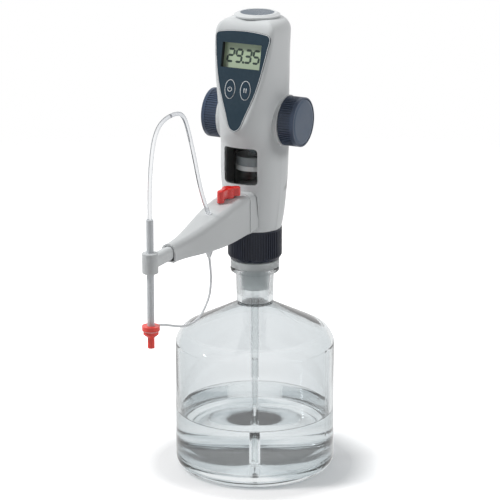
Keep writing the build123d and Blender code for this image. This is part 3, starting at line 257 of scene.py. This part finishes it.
def glass(
    name, face, rim, roughness=0.015, ior=1.47, waviness=0.06, power=0.35,
    tint=(0.93, 0.945, 0.95, 1.0), ground=False,
):
    """Clear glass, greyer where it is seen edge on (a painted reflection of dark surroundings), with faint
    waves of the drawn wall.
    """
    b = Build(name)
    facing = b.add("ShaderNodeLayerWeight")
    facing.inputs["Blend"].default_value = power
    # Painted reflection: the rim colour darkens the glass where it is seen edge on, in place of dark
    # surroundings reflected there
    colour = b.mix(facing.outputs["Facing"], face, rim)
    smudge = b.noise(26.0, 4.0, 0.6)
    rough = b.span(smudge, 0.45, 0.75, roughness, roughness + 0.04)
    if ground:
        flat = b.scaled((1.0, 1.0, 0.0))
        radius = b.add("ShaderNodeVectorMath", operation="LENGTH")
        b.link(flat, radius.inputs[0])
        inside = b.span(radius.outputs["Value"], 0.0162, 0.0158, 0.0, 1.0)
        high = b.span(b.axis("Z"), 0.178, 0.181, 0.0, 1.0)
        socket = b.math("MULTIPLY", inside, high)
        grain = b.noise(1500.0, 2.0, 0.6)
        rough = b.math("ADD", rough, b.math("MULTIPLY", socket, b.span(grain, 0.2, 0.8, 0.28, 0.4)))
        colour = b.mix(b.math("MULTIPLY", socket, 0.5), colour, (0.86, 0.9, 0.9, 1.0))
        # Painted shade: dark wavy streaks in the thick outer foot, in place of dark surroundings refracted
        # there
        foot = b.span(b.axis("Z"), 0.034, 0.012, 0.0, 1.0)
        ring_place = b.add("ShaderNodeCombineXYZ")
        b.link(radius.outputs["Value"], ring_place.inputs["X"])
        b.link(b.axis("Z"), ring_place.inputs["Y"])
        b.link(b.math("MULTIPLY", b.axis("X"), 0.15), ring_place.inputs["Z"])
        painted_streaks = b.span(b.noise(95.0, 3.0, 0.6, ring_place.outputs["Vector"]), 0.5, 0.6, 0.0, 0.6)
        outer = b.span(radius.outputs["Value"], 0.038, 0.056, 0.0, 1.0)
        painted_streaks = b.math("MULTIPLY", painted_streaks, outer)
        colour = b.mix(b.math("MULTIPLY", foot, painted_streaks), colour, (0.34, 0.42, 0.45, 1.0))
    b.link(colour, b.shader.inputs["Base Color"])
    b.link(rough, b.shader.inputs["Roughness"])
    b.set(ior=ior, transmission_weight=1.0)
    waves = b.noise(16.0, 2.0, 0.4, b.scaled((1.0, 1.0, 0.5)))
    b.bump(waves, waviness, 0.002)
    clear_shadow(b, tint, 0.9)
    return b


GREY = srgb(206, 209, 210)
SLATE = srgb(29, 50, 63)

housing = plastic("housing_grey", GREY, roughness=0.4, spread=0.02, painted_inner_shade=0.12)
rear_plastic = plastic(
    "housing_grey_rear", srgb(203, 206, 208), roughness=0.42, spread=0.02, painted_inner_shade=0.12,
)

arm_plastic = plastic("arm_grey", srgb(193, 196, 197), roughness=0.38, spread=0.02, shine=0.4)

# Wheels and ring: very dark hollows, painted shade in the grooves between the ribs
wheel = plastic(
    "wheel_navy", srgb(52, 66, 88), roughness=0.36, spread=0.06, grain=0.16, hollow_dust_and_shade=0.2, shine=0.45,
)
wheel_face = plastic("wheel_face", srgb(58, 76, 98), roughness=0.36, spread=0.05, grain=0.1, shine=0.38)
ring = plastic(
    "ring_navy", srgb(13, 22, 40), roughness=0.36, spread=0.08, grain=0.16, hollow_dust_and_shade=0.25, shine=0.32,
)
inlay = plastic("inlay_slate", srgb(44, 64, 82), roughness=0.3, spread=0.08, grain=0.08, shine=0.25)
panel = plastic(
    "panel_slate", SLATE, roughness=0.36, spread=0.05, grain=0.14, grain_scale=3400.0, shine=0.26,
)
key_face = plastic("key_slate", srgb(32, 52, 66), roughness=0.44, spread=0.05, grain=0.2, shine=0.26)
black = plastic("bezel_black", srgb(22, 25, 30), roughness=0.5, spread=0.1)
red = plastic("toggle_red", srgb(222, 40, 34), roughness=0.24, spread=0.06, grain=0.04, coat=0.35)
cap_red = plastic("cap_red", srgb(232, 58, 46), roughness=0.3, spread=0.06, grain=0.06, coat=0.2)
white = plastic("seal_white", srgb(246, 247, 247), roughness=0.46, spread=0.01)
head_grey = plastic("piston_grey", srgb(150, 155, 158), roughness=0.35, spread=0.05)
rubber = plastic("rubber_black", srgb(36, 36, 37), roughness=0.62, spread=0.1, grain=0.3)
green_board = plastic("board_green", srgb(30, 92, 62), roughness=0.34, spread=0.12, coat=0.3)
jacket = plastic("cell_jacket", srgb(72, 80, 96), roughness=0.3, spread=0.05, coat=0.3)
ceramic = plastic("ball_ceramic", srgb(228, 226, 220), roughness=0.15, spread=0.02, grain=0.02)
tube_plastic = plastic("tube_grey", srgb(196, 200, 203), roughness=0.3, spread=0.03, grain=0.05, coat=0.1)
strap_grey = plastic("strap_grey", srgb(212, 215, 217), roughness=0.4, spread=0.02, grain=0.08)
# Pale print, and also the painted highlight along the display panel's edge
print_and_highlight_white = plastic("print_and_highlight_white", srgb(226, 229, 231), roughness=0.5, spread=0.03)
digit_dark = plastic("digit_dark", srgb(40, 58, 50), roughness=0.5, spread=0.05)


def metal(name, tone, roughness, lines):
    """Turned metal with fine tool lines."""
    b = Build(name)
    wave = b.noise(900.0, 3.0, 0.6, b.scaled(lines))
    dark = tuple(c * 0.86 for c in tone[:3]) + (1.0,)
    b.link(b.ramp(wave, [(0.25, dark), (0.75, tone)]), b.shader.inputs["Base Color"])
    b.link(b.span(wave, 0.2, 0.8, roughness - 0.06, roughness + 0.08), b.shader.inputs["Roughness"])
    b.set(metallic=1.0)
    b.bump(wave, 0.12, 0.0001)
    return b


steel = metal("steel", srgb(198, 200, 203), 0.28, (3.0, 1.0, 1.0))
dark_steel = metal("dark_steel", srgb(84, 90, 94), 0.4, (3.0, 1.0, 1.0))
brass = metal("brass", srgb(214, 184, 120), 0.3, (1.0, 1.0, 4.0))

# Rim colours: painted reflection of dark surroundings at the edges of each clear piece
bottle_glass = glass(
    "bottle_glass", (0.915, 0.935, 0.945, 1.0), (0.50, 0.56, 0.58, 1.0), ior=1.47,
    waviness=0.45, power=0.27, ground=True, tint=(0.82, 0.84, 0.85, 1.0),
)
cylinder_glass = glass(
    "cylinder_glass", (0.95, 0.97, 0.97, 1.0), (0.22, 0.27, 0.29, 1.0), ior=1.2, waviness=0.06,
    power=0.45, tint=(0.99, 0.99, 0.99, 1.0),
)
pane_glass = glass(
    "pane_glass", (0.96, 0.97, 0.97, 1.0), (0.42, 0.47, 0.50, 1.0), ior=1.12, waviness=0.01,
    tint=(0.99, 0.99, 0.99, 1.0),
)
liquid = glass(
    "reagent_clear", (0.985, 0.995, 0.995, 1.0), (0.94, 0.96, 0.96, 1.0),
    ior=1.333, waviness=0.06, roughness=0.0,
)


def translucent(name, tone, amount, roughness):
    """Milky moulded plastic that lets a part of the light through."""
    b = Build(name)
    cloud = b.noise(60.0, 3.0, 0.5)
    dark = tuple(c * 0.93 for c in tone[:3]) + (1.0,)
    b.link(b.ramp(cloud, [(0.3, dark), (0.7, tone)]), b.shader.inputs["Base Color"])
    b.link(b.span(cloud, 0.3, 0.7, roughness - 0.05, roughness + 0.07), b.shader.inputs["Roughness"])
    b.set(ior=1.45, transmission_weight=amount)
    b.bump(b.noise(1800.0, 2.0, 0.5), 0.08, 0.0001)
    clear_shadow(b, (0.8, 0.82, 0.82, 1.0), amount * 0.8)
    return b


adapter_plastic = translucent("adapter_frosted", srgb(236, 240, 240), 0.6, 0.38)
filling_plastic = glass(
    "filling_tube", (0.96, 0.97, 0.97, 1.0), (0.62, 0.66, 0.67, 1.0), roughness=0.1, ior=1.34, waviness=0.02,
)
hose_plastic = glass(
    "hose_clear", (0.95, 0.96, 0.97, 1.0), (0.30, 0.33, 0.38, 1.0), roughness=0.08, ior=1.3, waviness=0.0,
    power=0.55,
)


def display_green():
    """Liquid crystal cell: pale green glass, darker towards the top."""
    b = Build("display_green")
    height = b.axis("Z")
    fade = b.span(height, 0.412, 0.444, 0.0, 1.0)
    colour = b.ramp(fade, [(0.0, srgb(196, 214, 184)), (1.0, srgb(172, 194, 160))])
    speck = b.noise(900.0, 2.0, 0.5)
    colour = b.mix(b.math("MULTIPLY", speck, 0.10), colour, srgb(150, 170, 140))
    b.link(colour, b.shader.inputs["Base Color"])
    b.link(b.span(b.noise(30.0), 0.3, 0.7, 0.16, 0.26), b.shader.inputs["Roughness"])
    b.set(ior=1.5, coat_weight=0.3, coat_roughness=0.1)
    return b


lcd = display_green()

MATERIALS = {
    "reagent_bottle": bottle_glass,
    "neck_adapter": adapter_plastic,
    "sealing_ring": rubber,
    "knurled_ring": ring,
    "housing_front": housing,
    "housing_rear": rear_plastic,
    "battery_cover": rear_plastic,
    "window_pane": pane_glass,
    "top_cap": housing,
    "top_inlay": inlay,
    "display_panel": panel,
    "lcd_bezel": black,
    "lcd_cell": lcd,
    "key_power": key_face,
    "key_pause": key_face,
    "circuit_board": green_board,
    "batteries": jacket,
    "battery_holder": black,
    "drive_shaft": steel,
    "drive_pinion": brass,
    "shaft_bushes": brass,
    "handwheel_right": wheel,
    "handwheel_left": wheel,
    "wheel_cap_right": wheel_face,
    "wheel_cap_left": wheel_face,
    "piston_rod": dark_steel,
    "piston_head": head_grey,
    "piston_seal": white,
    "glass_cylinder": cylinder_glass,
    "cylinder_clamp": black,
    "rod_guide": white,
    "valve_block": white,
    "suction_valve_cage": white,
    "suction_valve_ball": ceramic,
    "discharge_valve_cage": white,
    "discharge_valve_ball": ceramic,
    "valve_spindle": white,
    "valve_toggle": red,
    "arm_shell": arm_plastic,
    "hose_nipple": strap_grey,
    "extension_rod": arm_plastic,
    "cannula_holder": arm_plastic,
    "cannula_tube": tube_plastic,
    "tip_cap": cap_red,
    "filling_tube_upper": filling_plastic,
    "filling_tube_lower": filling_plastic,
    "return_tube": filling_plastic,
    "strap_anchor": strap_grey,
}


def dress(node, build):
    """Gives a solid of the frame its material."""
    target = NODES[node]
    if not target.material_slots:
        target.data.materials.append(build.material)
    for place in target.material_slots:
        place.link = "OBJECT"
        place.material = build.material


for node, build in MATERIALS.items():
    dress(node, build)


# Helpers for pieces

def face_point(x, y, depth=0.0):
    """Point of the inclined front face, so far behind it."""
    return FACE_ORIGIN + Vector((x, 0.0, 0.0)) + FACE_UP * y - FACE_NORMAL * depth


def place(mesh, name, build, body, slot):
    """Turns a mesh into a piece with its material and the body that it rides on; its slot is not used."""
    mesh.materials.append(build.material)
    piece = bpy.data.objects.new(name, mesh)
    bpy.context.collection.objects.link(piece)
    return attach(piece, body)


def mesh_of(work, name, smooth=True):
    bmesh.ops.recalc_face_normals(work, faces=work.faces)
    mesh = bpy.data.meshes.new(name)
    work.to_mesh(mesh)
    work.free()
    for polygon in mesh.polygons:
        polygon.use_smooth = smooth
    return mesh


def band(name, path, width, depth, height, build, body, slot, closed=True):
    """Raised line of a width on the front face, along points of that face, with a crowned top."""
    work = bmesh.new()
    rows = []
    count = len(path)
    for i, (x, y) in enumerate(path):
        before = path[i - 1] if closed or i > 0 else path[i]
        after = path[(i + 1) % count] if closed or i < count - 1 else path[i]
        dx, dy = after[0] - before[0], after[1] - before[1]
        size = sqrt(dx * dx + dy * dy) or 1.0
        nx, ny = -dy / size, dx / size
        row = []
        for across, lift in ((-0.5, 0.0), (-0.32, 1.0), (0.32, 1.0), (0.5, 0.0)):
            point = face_point(x + nx * width * across, y + ny * width * across, depth - height * lift)
            row.append(work.verts.new(point))
        rows.append(row)
    steps = count if closed else count - 1
    for i in range(steps):
        a, b = rows[i], rows[(i + 1) % count]
        for j in range(3):
            work.faces.new((a[j], a[j + 1], b[j + 1], b[j]))
        work.faces.new((a[3], a[0], b[0], b[3]))
    if not closed:
        work.faces.new(rows[0])
        work.faces.new(rows[-1])
    return place(mesh_of(work, name), name, build, body, slot)


def slab(work, corners, depth, height):
    """Low prism on the front face, added to a mesh in work."""
    low = [work.verts.new(face_point(x, y, depth)) for x, y in corners]
    high = [work.verts.new(face_point(x, y, depth - height)) for x, y in corners]
    work.faces.new(low)
    work.faces.new(high)
    count = len(corners)
    for i in range(count):
        j = (i + 1) % count
        work.faces.new((low[i], low[j], high[j], high[i]))


def ellipse(cx, cy, rx, ry, count=64, start=0.0, sweep=2 * pi):
    closed = abs(sweep - 2 * pi) < 1e-6
    steps = count if closed else count - 1
    return [
        (cx + rx * cos(start + sweep * i / steps), cy + ry * sin(start + sweep * i / steps))
        for i in range(count)
    ]


# Hose and cap strap

HOSE_DIAMETER = 0.004
STRAP_DIAMETER = 0.0024
ROUTES = {
    "hose_arm": [
        (-0.172, 0.3984), (-0.1564, 0.3989), (-0.144, 0.3904), (-0.1346, 0.3702),
        (-0.1254, 0.3466), (-0.1166, 0.321), (-0.107, 0.301), (-0.0985, 0.2874),
    ],
    "hose_tip": [
        (-0.213, 0.3095), (-0.213, 0.333), (-0.2104, 0.3595), (-0.2035, 0.3855),
        (-0.1876, 0.3979), (-0.172, 0.3984),
    ],
    "strap_upper_length": [
        (-0.097, 0.243), (-0.0944, 0.232), (-0.0936, 0.217), (-0.0972, 0.203), (-0.1049, 0.1964),
    ],
    "strap_middle_length": [
        (-0.1049, 0.1964), (-0.1126, 0.1898), (-0.13, 0.1859), (-0.1415, 0.1875),
    ],
    "strap_lower_length": [
        (-0.1415, 0.1875), (-0.153, 0.1891), (-0.174, 0.1964), (-0.191, 0.2022), (-0.2043, 0.2053),
    ],
}


def soft_line(name, diameter, build):
    """Round soft line as a mesh, and the points of its centreline, both from one smooth spline."""
    curve = bpy.data.curves.new(name, "CURVE")
    curve.dimensions = "3D"
    curve.resolution_u = 16
    spline = curve.splines.new("NURBS")
    points = ROUTES[name]
    spline.points.add(len(points) - 1)
    for point, (y, z) in zip(spline.points, points):
        point.co = (0.0, y, z, 1.0)
    spline.order_u = 3
    spline.use_endpoint_u = True
    guide = bpy.data.objects.new(name + "_guide", curve)
    bpy.context.collection.objects.link(guide)
    bpy.context.view_layer.update()
    depsgraph = bpy.context.evaluated_depsgraph_get()
    line = bpy.data.meshes.new_from_object(guide.evaluated_get(depsgraph))
    path = [v.co.copy() for v in line.vertices]
    curve.bevel_depth = diameter / 2
    curve.bevel_resolution = 6
    curve.use_fill_caps = True
    bpy.context.view_layer.update()
    depsgraph = bpy.context.evaluated_depsgraph_get()
    mesh = bpy.data.meshes.new_from_object(guide.evaluated_get(depsgraph))
    bpy.data.objects.remove(guide)
    mesh.name = name
    mesh.materials.clear()
    mesh.materials.append(build.material)
    piece = bpy.data.objects.new(name, mesh)
    bpy.context.collection.objects.link(piece)
    return piece, path


def declare(name, node, diameter, build, turned=False):
    """One length of hose or strap as a fixed mesh along its route between two bodies, in place of the
    frame's part, which is hidden.
    """
    piece, path = soft_line(name, diameter, build)
    if turned:
        path.reverse()
    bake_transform(piece)
    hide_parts(node)
    return piece


declare(
    "hose_arm", "hose_arm_length",
    HOSE_DIAMETER, hose_plastic, turned=True,
)
declare(
    "hose_tip", "hose_tip_length",
    HOSE_DIAMETER, hose_plastic,
)
declare(
    "strap_upper_length", "strap_upper",
    STRAP_DIAMETER, strap_grey,
)
declare(
    "strap_middle_length", "strap_middle",
    STRAP_DIAMETER, strap_grey,
)
declare(
    "strap_lower_length", "strap_lower",
    STRAP_DIAMETER, strap_grey,
)


# Painted highlight: a pale band just inside the edge of the display panel

def outer_loop(node):
    """Outline of a flat piece of the front face, in order, as (x, y) of that face."""
    mesh = NODES[node].data
    work = bmesh.new()
    work.from_mesh(mesh)
    bmesh.ops.remove_doubles(work, verts=work.verts, dist=1e-6)
    front = max((v.co - FACE_ORIGIN).dot(FACE_NORMAL) for v in work.verts)
    edges = []
    for e in work.edges:
        level = all((v.co - FACE_ORIGIN).dot(FACE_NORMAL) > front - 2e-5 for v in e.verts)
        kinds = [f.normal.dot(FACE_NORMAL) > 0.9 for f in e.link_faces]
        if level and len(kinds) == 2 and kinds[0] != kinds[1]:
            edges.append(e)
    loops = []
    left = set(edges)
    while left:
        edge = left.pop()
        chain = [edge.verts[0], edge.verts[1]]
        while True:
            found = next((e for e in chain[-1].link_edges if e in left), None)
            if found is None:
                break
            left.discard(found)
            chain.append(found.other_vert(chain[-1]))
        loops.append([
            ((v.co - FACE_ORIGIN).x, (v.co - FACE_ORIGIN).dot(FACE_UP)) for v in chain[:-1]
        ])
    work.free()
    return max(loops, key=lambda c: max(p[0] for p in c) - min(p[0] for p in c))


def drawn_in(path, amount):
    """A closed outline moved inwards."""
    count = len(path)
    area = sum(
        path[i][0] * path[(i + 1) % count][1] - path[(i + 1) % count][0] * path[i][1]
        for i in range(count)
    )
    turn = 1.0 if area > 0 else -1.0
    moved = []
    for i in range(count):
        dx = path[(i + 1) % count][0] - path[i - 1][0]
        dy = path[(i + 1) % count][1] - path[i - 1][1]
        size = sqrt(dx * dx + dy * dy) or 1.0
        moved.append((path[i][0] - turn * dy / size * amount, path[i][1] + turn * dx / size * amount))
    return moved


panel_edge = outer_loop("display_panel")
band(
    "panel_edge_highlight", drawn_in(panel_edge, 0.0005), 0.0006, PANEL_FRONT, 0.00015,
    print_and_highlight_white, "head", "frosted_plastic",
)


# Rings round the keys and their signs

for side, name in ((-1, "power"), (1, "pause")):
    centre = side * KEY_SIDE
    band(
        f"key_ring_{name}", ellipse(centre, KEY_CENTRE, 0.0053, 0.0091), 0.0007,
        PANEL_FRONT, 0.00012, print_and_highlight_white, "head", "frosted_plastic",
    )

band(
    "power_sign_arc",
    ellipse(-KEY_SIDE, KEY_CENTRE, 0.0021, 0.0021, 28, radians(125), radians(290)),
    0.0006, KEY_FRONT, 0.00006, print_and_highlight_white, "left_key", "frosted_plastic", closed=False,
)
band(
    "power_sign_bar",
    [(-KEY_SIDE, KEY_CENTRE + 0.0004), (-KEY_SIDE, KEY_CENTRE + 0.0028)],
    0.0006, KEY_FRONT, 0.00006, print_and_highlight_white, "left_key", "frosted_plastic", closed=False,
)
for side in (-1, 1):
    x = KEY_SIDE + side * 0.0011
    band(
        f"pause_sign_bar_{'left' if side < 0 else 'right'}",
        [(x, KEY_CENTRE - 0.0022), (x, KEY_CENTRE + 0.0022)],
        0.0009, KEY_FRONT, 0.00006, print_and_highlight_white, "right_key", "frosted_plastic", closed=False,
    )


# Digits of the display

DIGIT_HEIGHT = 0.0120
DIGIT_WIDTH = 0.0062
STROKE = 0.0022
SLANT = 0.10
SEGMENTS = {
    "2": "abged", "9": "abcdfg", "3": "abcdg", "5": "acdfg", "0": "abcdef", "1": "bc",
}


def segment_corners(kind):
    """Bevelled stroke of a seven-part figure, from its lower left corner."""
    h, w, s = DIGIT_HEIGHT, DIGIT_WIDTH, STROKE
    gap = s * 0.08
    half = s / 2
    levels = {"a": h, "g": h / 2, "d": 0.0}
    if kind in levels:
        y = levels[kind]
        left, right_end = gap, w - gap
        return [
            (left, y), (left + half, y + half), (right_end - half, y + half),
            (right_end, y), (right_end - half, y - half), (left + half, y - half),
        ]
    x = 0.0 if kind in "fe" else w
    low, high = (h / 2, h) if kind in "fb" else (0.0, h / 2)
    low, high = low + gap, high - gap
    return [
        (x, low), (x + half, low + half), (x + half, high - half),
        (x, high), (x - half, high - half), (x - half, low + half),
    ]


def figures(text, x, y):
    """Figures of the display as thin raised strokes."""
    work = bmesh.new()
    for mark in text:
        if mark == ".":
            px = x - 0.0012
            low, high = y - STROKE / 2, y + STROKE / 2
            corners = [(px, low), (px + STROKE, low), (px + STROKE, high), (px, high)]
            slab(work, corners, LCD_DEPTH, 0.00008)
            x += 0.0010
            continue
        for kind in SEGMENTS[mark]:
            corners = [(x + cx + (cy * SLANT), y + cy) for cx, cy in segment_corners(kind)]
            slab(work, corners, LCD_DEPTH, 0.00008)
        x += DIGIT_WIDTH + 0.0026
    return place(mesh_of(work, "figures", smooth=False), "figures", digit_dark, "head", "black_plastic")


figures("29.35", -0.0174, LCD_CENTRE - DIGIT_HEIGHT / 2)


# Eye of the strap in the groove of the tip cap

def strap_eye():
    """Flat ring that sits between the two flanges of the cap."""
    work = bmesh.new()
    section = [
        (0.0065, -0.0003), (0.0078, -0.0003), (0.0081, 0.0), (0.0078, 0.0003), (0.0065, 0.0003),
    ]
    turns = 64
    rows = []
    for i in range(turns):
        a = 2 * pi * i / turns
        rows.append([work.verts.new((r * cos(a), TIP_Y + r * sin(a), CAP_GROOVE_Z + z)) for r, z in section])
    for i in range(turns):
        a, b = rows[i], rows[(i + 1) % turns]
        for j in range(len(section)):
            k = (j + 1) % len(section)
            work.faces.new((a[j], a[k], b[k], b[j]))
    return place(mesh_of(work, "strap_eye"), "strap_eye", strap_grey, "cap", "frosted_plastic")


strap_eye()


# Reagent in the bottle

def reagent():
    """Clear liquid that stands a little higher against the wall and round the tube."""
    work = bmesh.new()
    overlap = 0.0003
    wall = BOTTLE_INSIDE + overlap
    floor_at = BOTTLE_FLOOR - overlap
    bend = FOOT_INSIDE + overlap
    hold = 0.0004
    tube_gap = 0.0041
    climb = [(0.0, 0.0016), (0.0004, 0.0011), (0.001, 0.0006), (0.002, 0.0002), (0.0034, 0.0)]
    profile = [(tube_gap, floor_at), (wall - bend - hold, floor_at)]
    for k in range(9):
        turn = pi / 2 * k / 8
        profile.append((wall - bend + bend * sin(turn), floor_at + bend - bend * cos(turn)))
    profile += [(wall, floor_at + bend + hold), (wall, LIQUID_LEVEL + 0.0016 - hold)]
    profile += [(wall - step, LIQUID_LEVEL + rise) for step, rise in climb]
    profile += [(wall - 0.0034 - hold, LIQUID_LEVEL), (tube_gap + 0.0034 + hold, LIQUID_LEVEL)]
    profile += [(tube_gap + step, LIQUID_LEVEL + rise * 0.6) for step, rise in reversed(climb)]
    turns = 128
    rows = []
    for i in range(turns):
        a = 2 * pi * i / turns
        rows.append([work.verts.new((r * cos(a), r * sin(a), z)) for r, z in profile])
    count = len(profile)
    for i in range(turns):
        a, b = rows[i], rows[(i + 1) % turns]
        for j in range(count):
            k = (j + 1) % count
            work.faces.new((a[j], a[k], b[k], b[j]))
    return place(mesh_of(work, "reagent"), "reagent", liquid, "bottle", "clear_glass")


reagent()


# Floor, light and surroundings

def floor():
    work = bmesh.new()
    bmesh.ops.create_circle(work, cap_ends=True, radius=3.0, segments=96)
    mesh = mesh_of(work, "floor")
    b = Build("floor")
    b.set(base_color=(0.93, 0.93, 0.935, 1.0), roughness=0.9)
    paper = b.noise(220.0, 3.0, 0.5)
    b.bump(paper, 0.03, 0.0005)
    path = b.add("ShaderNodeLightPath")
    glow = b.add("ShaderNodeEmission")
    glow.inputs["Color"].default_value = (1.0, 1.0, 1.0, 1.0)
    length = b.add("ShaderNodeVectorMath", operation="LENGTH")
    b.link(b.coords, length.inputs[0])
    # Painted light: for camera rays the floor glows more with distance from the axis, washing out all but
    # the shadow close to the bottle
    far = b.span(length.outputs["Value"], 0.098, 0.150, 0.04, 0.75)
    b.link(b.math("MULTIPLY", path.outputs["Is Camera Ray"], far), glow.inputs["Strength"])
    lit = b.add("ShaderNodeAddShader")
    b.link(b.shader.outputs["BSDF"], lit.inputs[0])
    b.link(glow.outputs["Emission"], lit.inputs[1])
    plain = b.add("ShaderNodeEmission")
    plain.inputs["Strength"].default_value = 0.95
    through = b.math("MAXIMUM", path.outputs["Is Transmission Ray"], path.outputs["Is Glossy Ray"])
    mirrored = b.add("ShaderNodeMixShader")
    b.link(through, mirrored.inputs["Fac"])
    b.link(lit.outputs["Shader"], mirrored.inputs[1])
    b.link(plain.outputs["Emission"], mirrored.inputs[2])
    clear = b.add("ShaderNodeBsdfTransparent")
    faded = b.add("ShaderNodeMixShader")
    b.link(b.span(length.outputs["Value"], 0.5, 1.4, 0.0, 1.0), faded.inputs["Fac"])
    b.link(mirrored.outputs["Shader"], faded.inputs[1])
    b.link(clear.outputs["BSDF"], faded.inputs[2])
    b.link(faded.outputs["Shader"], b.output.inputs["Surface"])
    mesh.materials.append(b.material)
    piece = bpy.data.objects.new("floor", mesh)
    piece.location.z = -0.0005
    bpy.context.collection.objects.link(piece)


def lamp(name, place_at, size, power, aim=(0.0, 0.0, 0.25), mirrored=True):
    data = bpy.data.lights.new(name, "AREA")
    data.shape = "DISK"
    data.size = size
    data.energy = power
    light = bpy.data.objects.new(name, data)
    bpy.context.collection.objects.link(light)
    light.location = place_at
    light.rotation_mode = "QUATERNION"
    light.rotation_quaternion = (Vector(aim) - Vector(place_at)).to_track_quat("-Z", "Y")
    light.visible_glossy = mirrored
    light.visible_transmission = mirrored


def surroundings():
    world = bpy.data.worlds.new("surroundings")
    bpy.context.scene.world = world
    world.use_nodes = True
    tree = world.node_tree
    background = tree.nodes["Background"]
    background.inputs["Color"].default_value = (1.0, 1.0, 1.0, 1.0)
    path = tree.nodes.new("ShaderNodeLightPath")
    seen = tree.nodes.new("ShaderNodeMath")
    seen.operation = "MAXIMUM"
    tree.links.new(path.outputs["Is Camera Ray"], seen.inputs[0])
    tree.links.new(path.outputs["Is Transmission Ray"], seen.inputs[1])
    glossy = tree.nodes.new("ShaderNodeMath")
    glossy.operation = "MAXIMUM"
    tree.links.new(seen.outputs["Value"], glossy.inputs[0])
    tree.links.new(path.outputs["Is Glossy Ray"], glossy.inputs[1])
    strength = tree.nodes.new("ShaderNodeMapRange")
    strength.inputs["To Min"].default_value = 0.18
    strength.inputs["To Max"].default_value = 1.0
    tree.links.new(glossy.outputs["Value"], strength.inputs["Value"])
    tree.links.new(strength.outputs["Result"], background.inputs["Strength"])


floor()
surroundings()
lamp("key", (-1.25, -0.95, 2.15), 0.5, 44.0, mirrored=False)
lamp("spark", (-2.0, -1.5, 1.0), 0.2, 3.0)
lamp("top", (-0.5, 0.4, 2.1), 1.0, 7.0, mirrored=False)
lamp("rim", (1.5, 0.35, 1.3), 0.7, 11.0, mirrored=False)
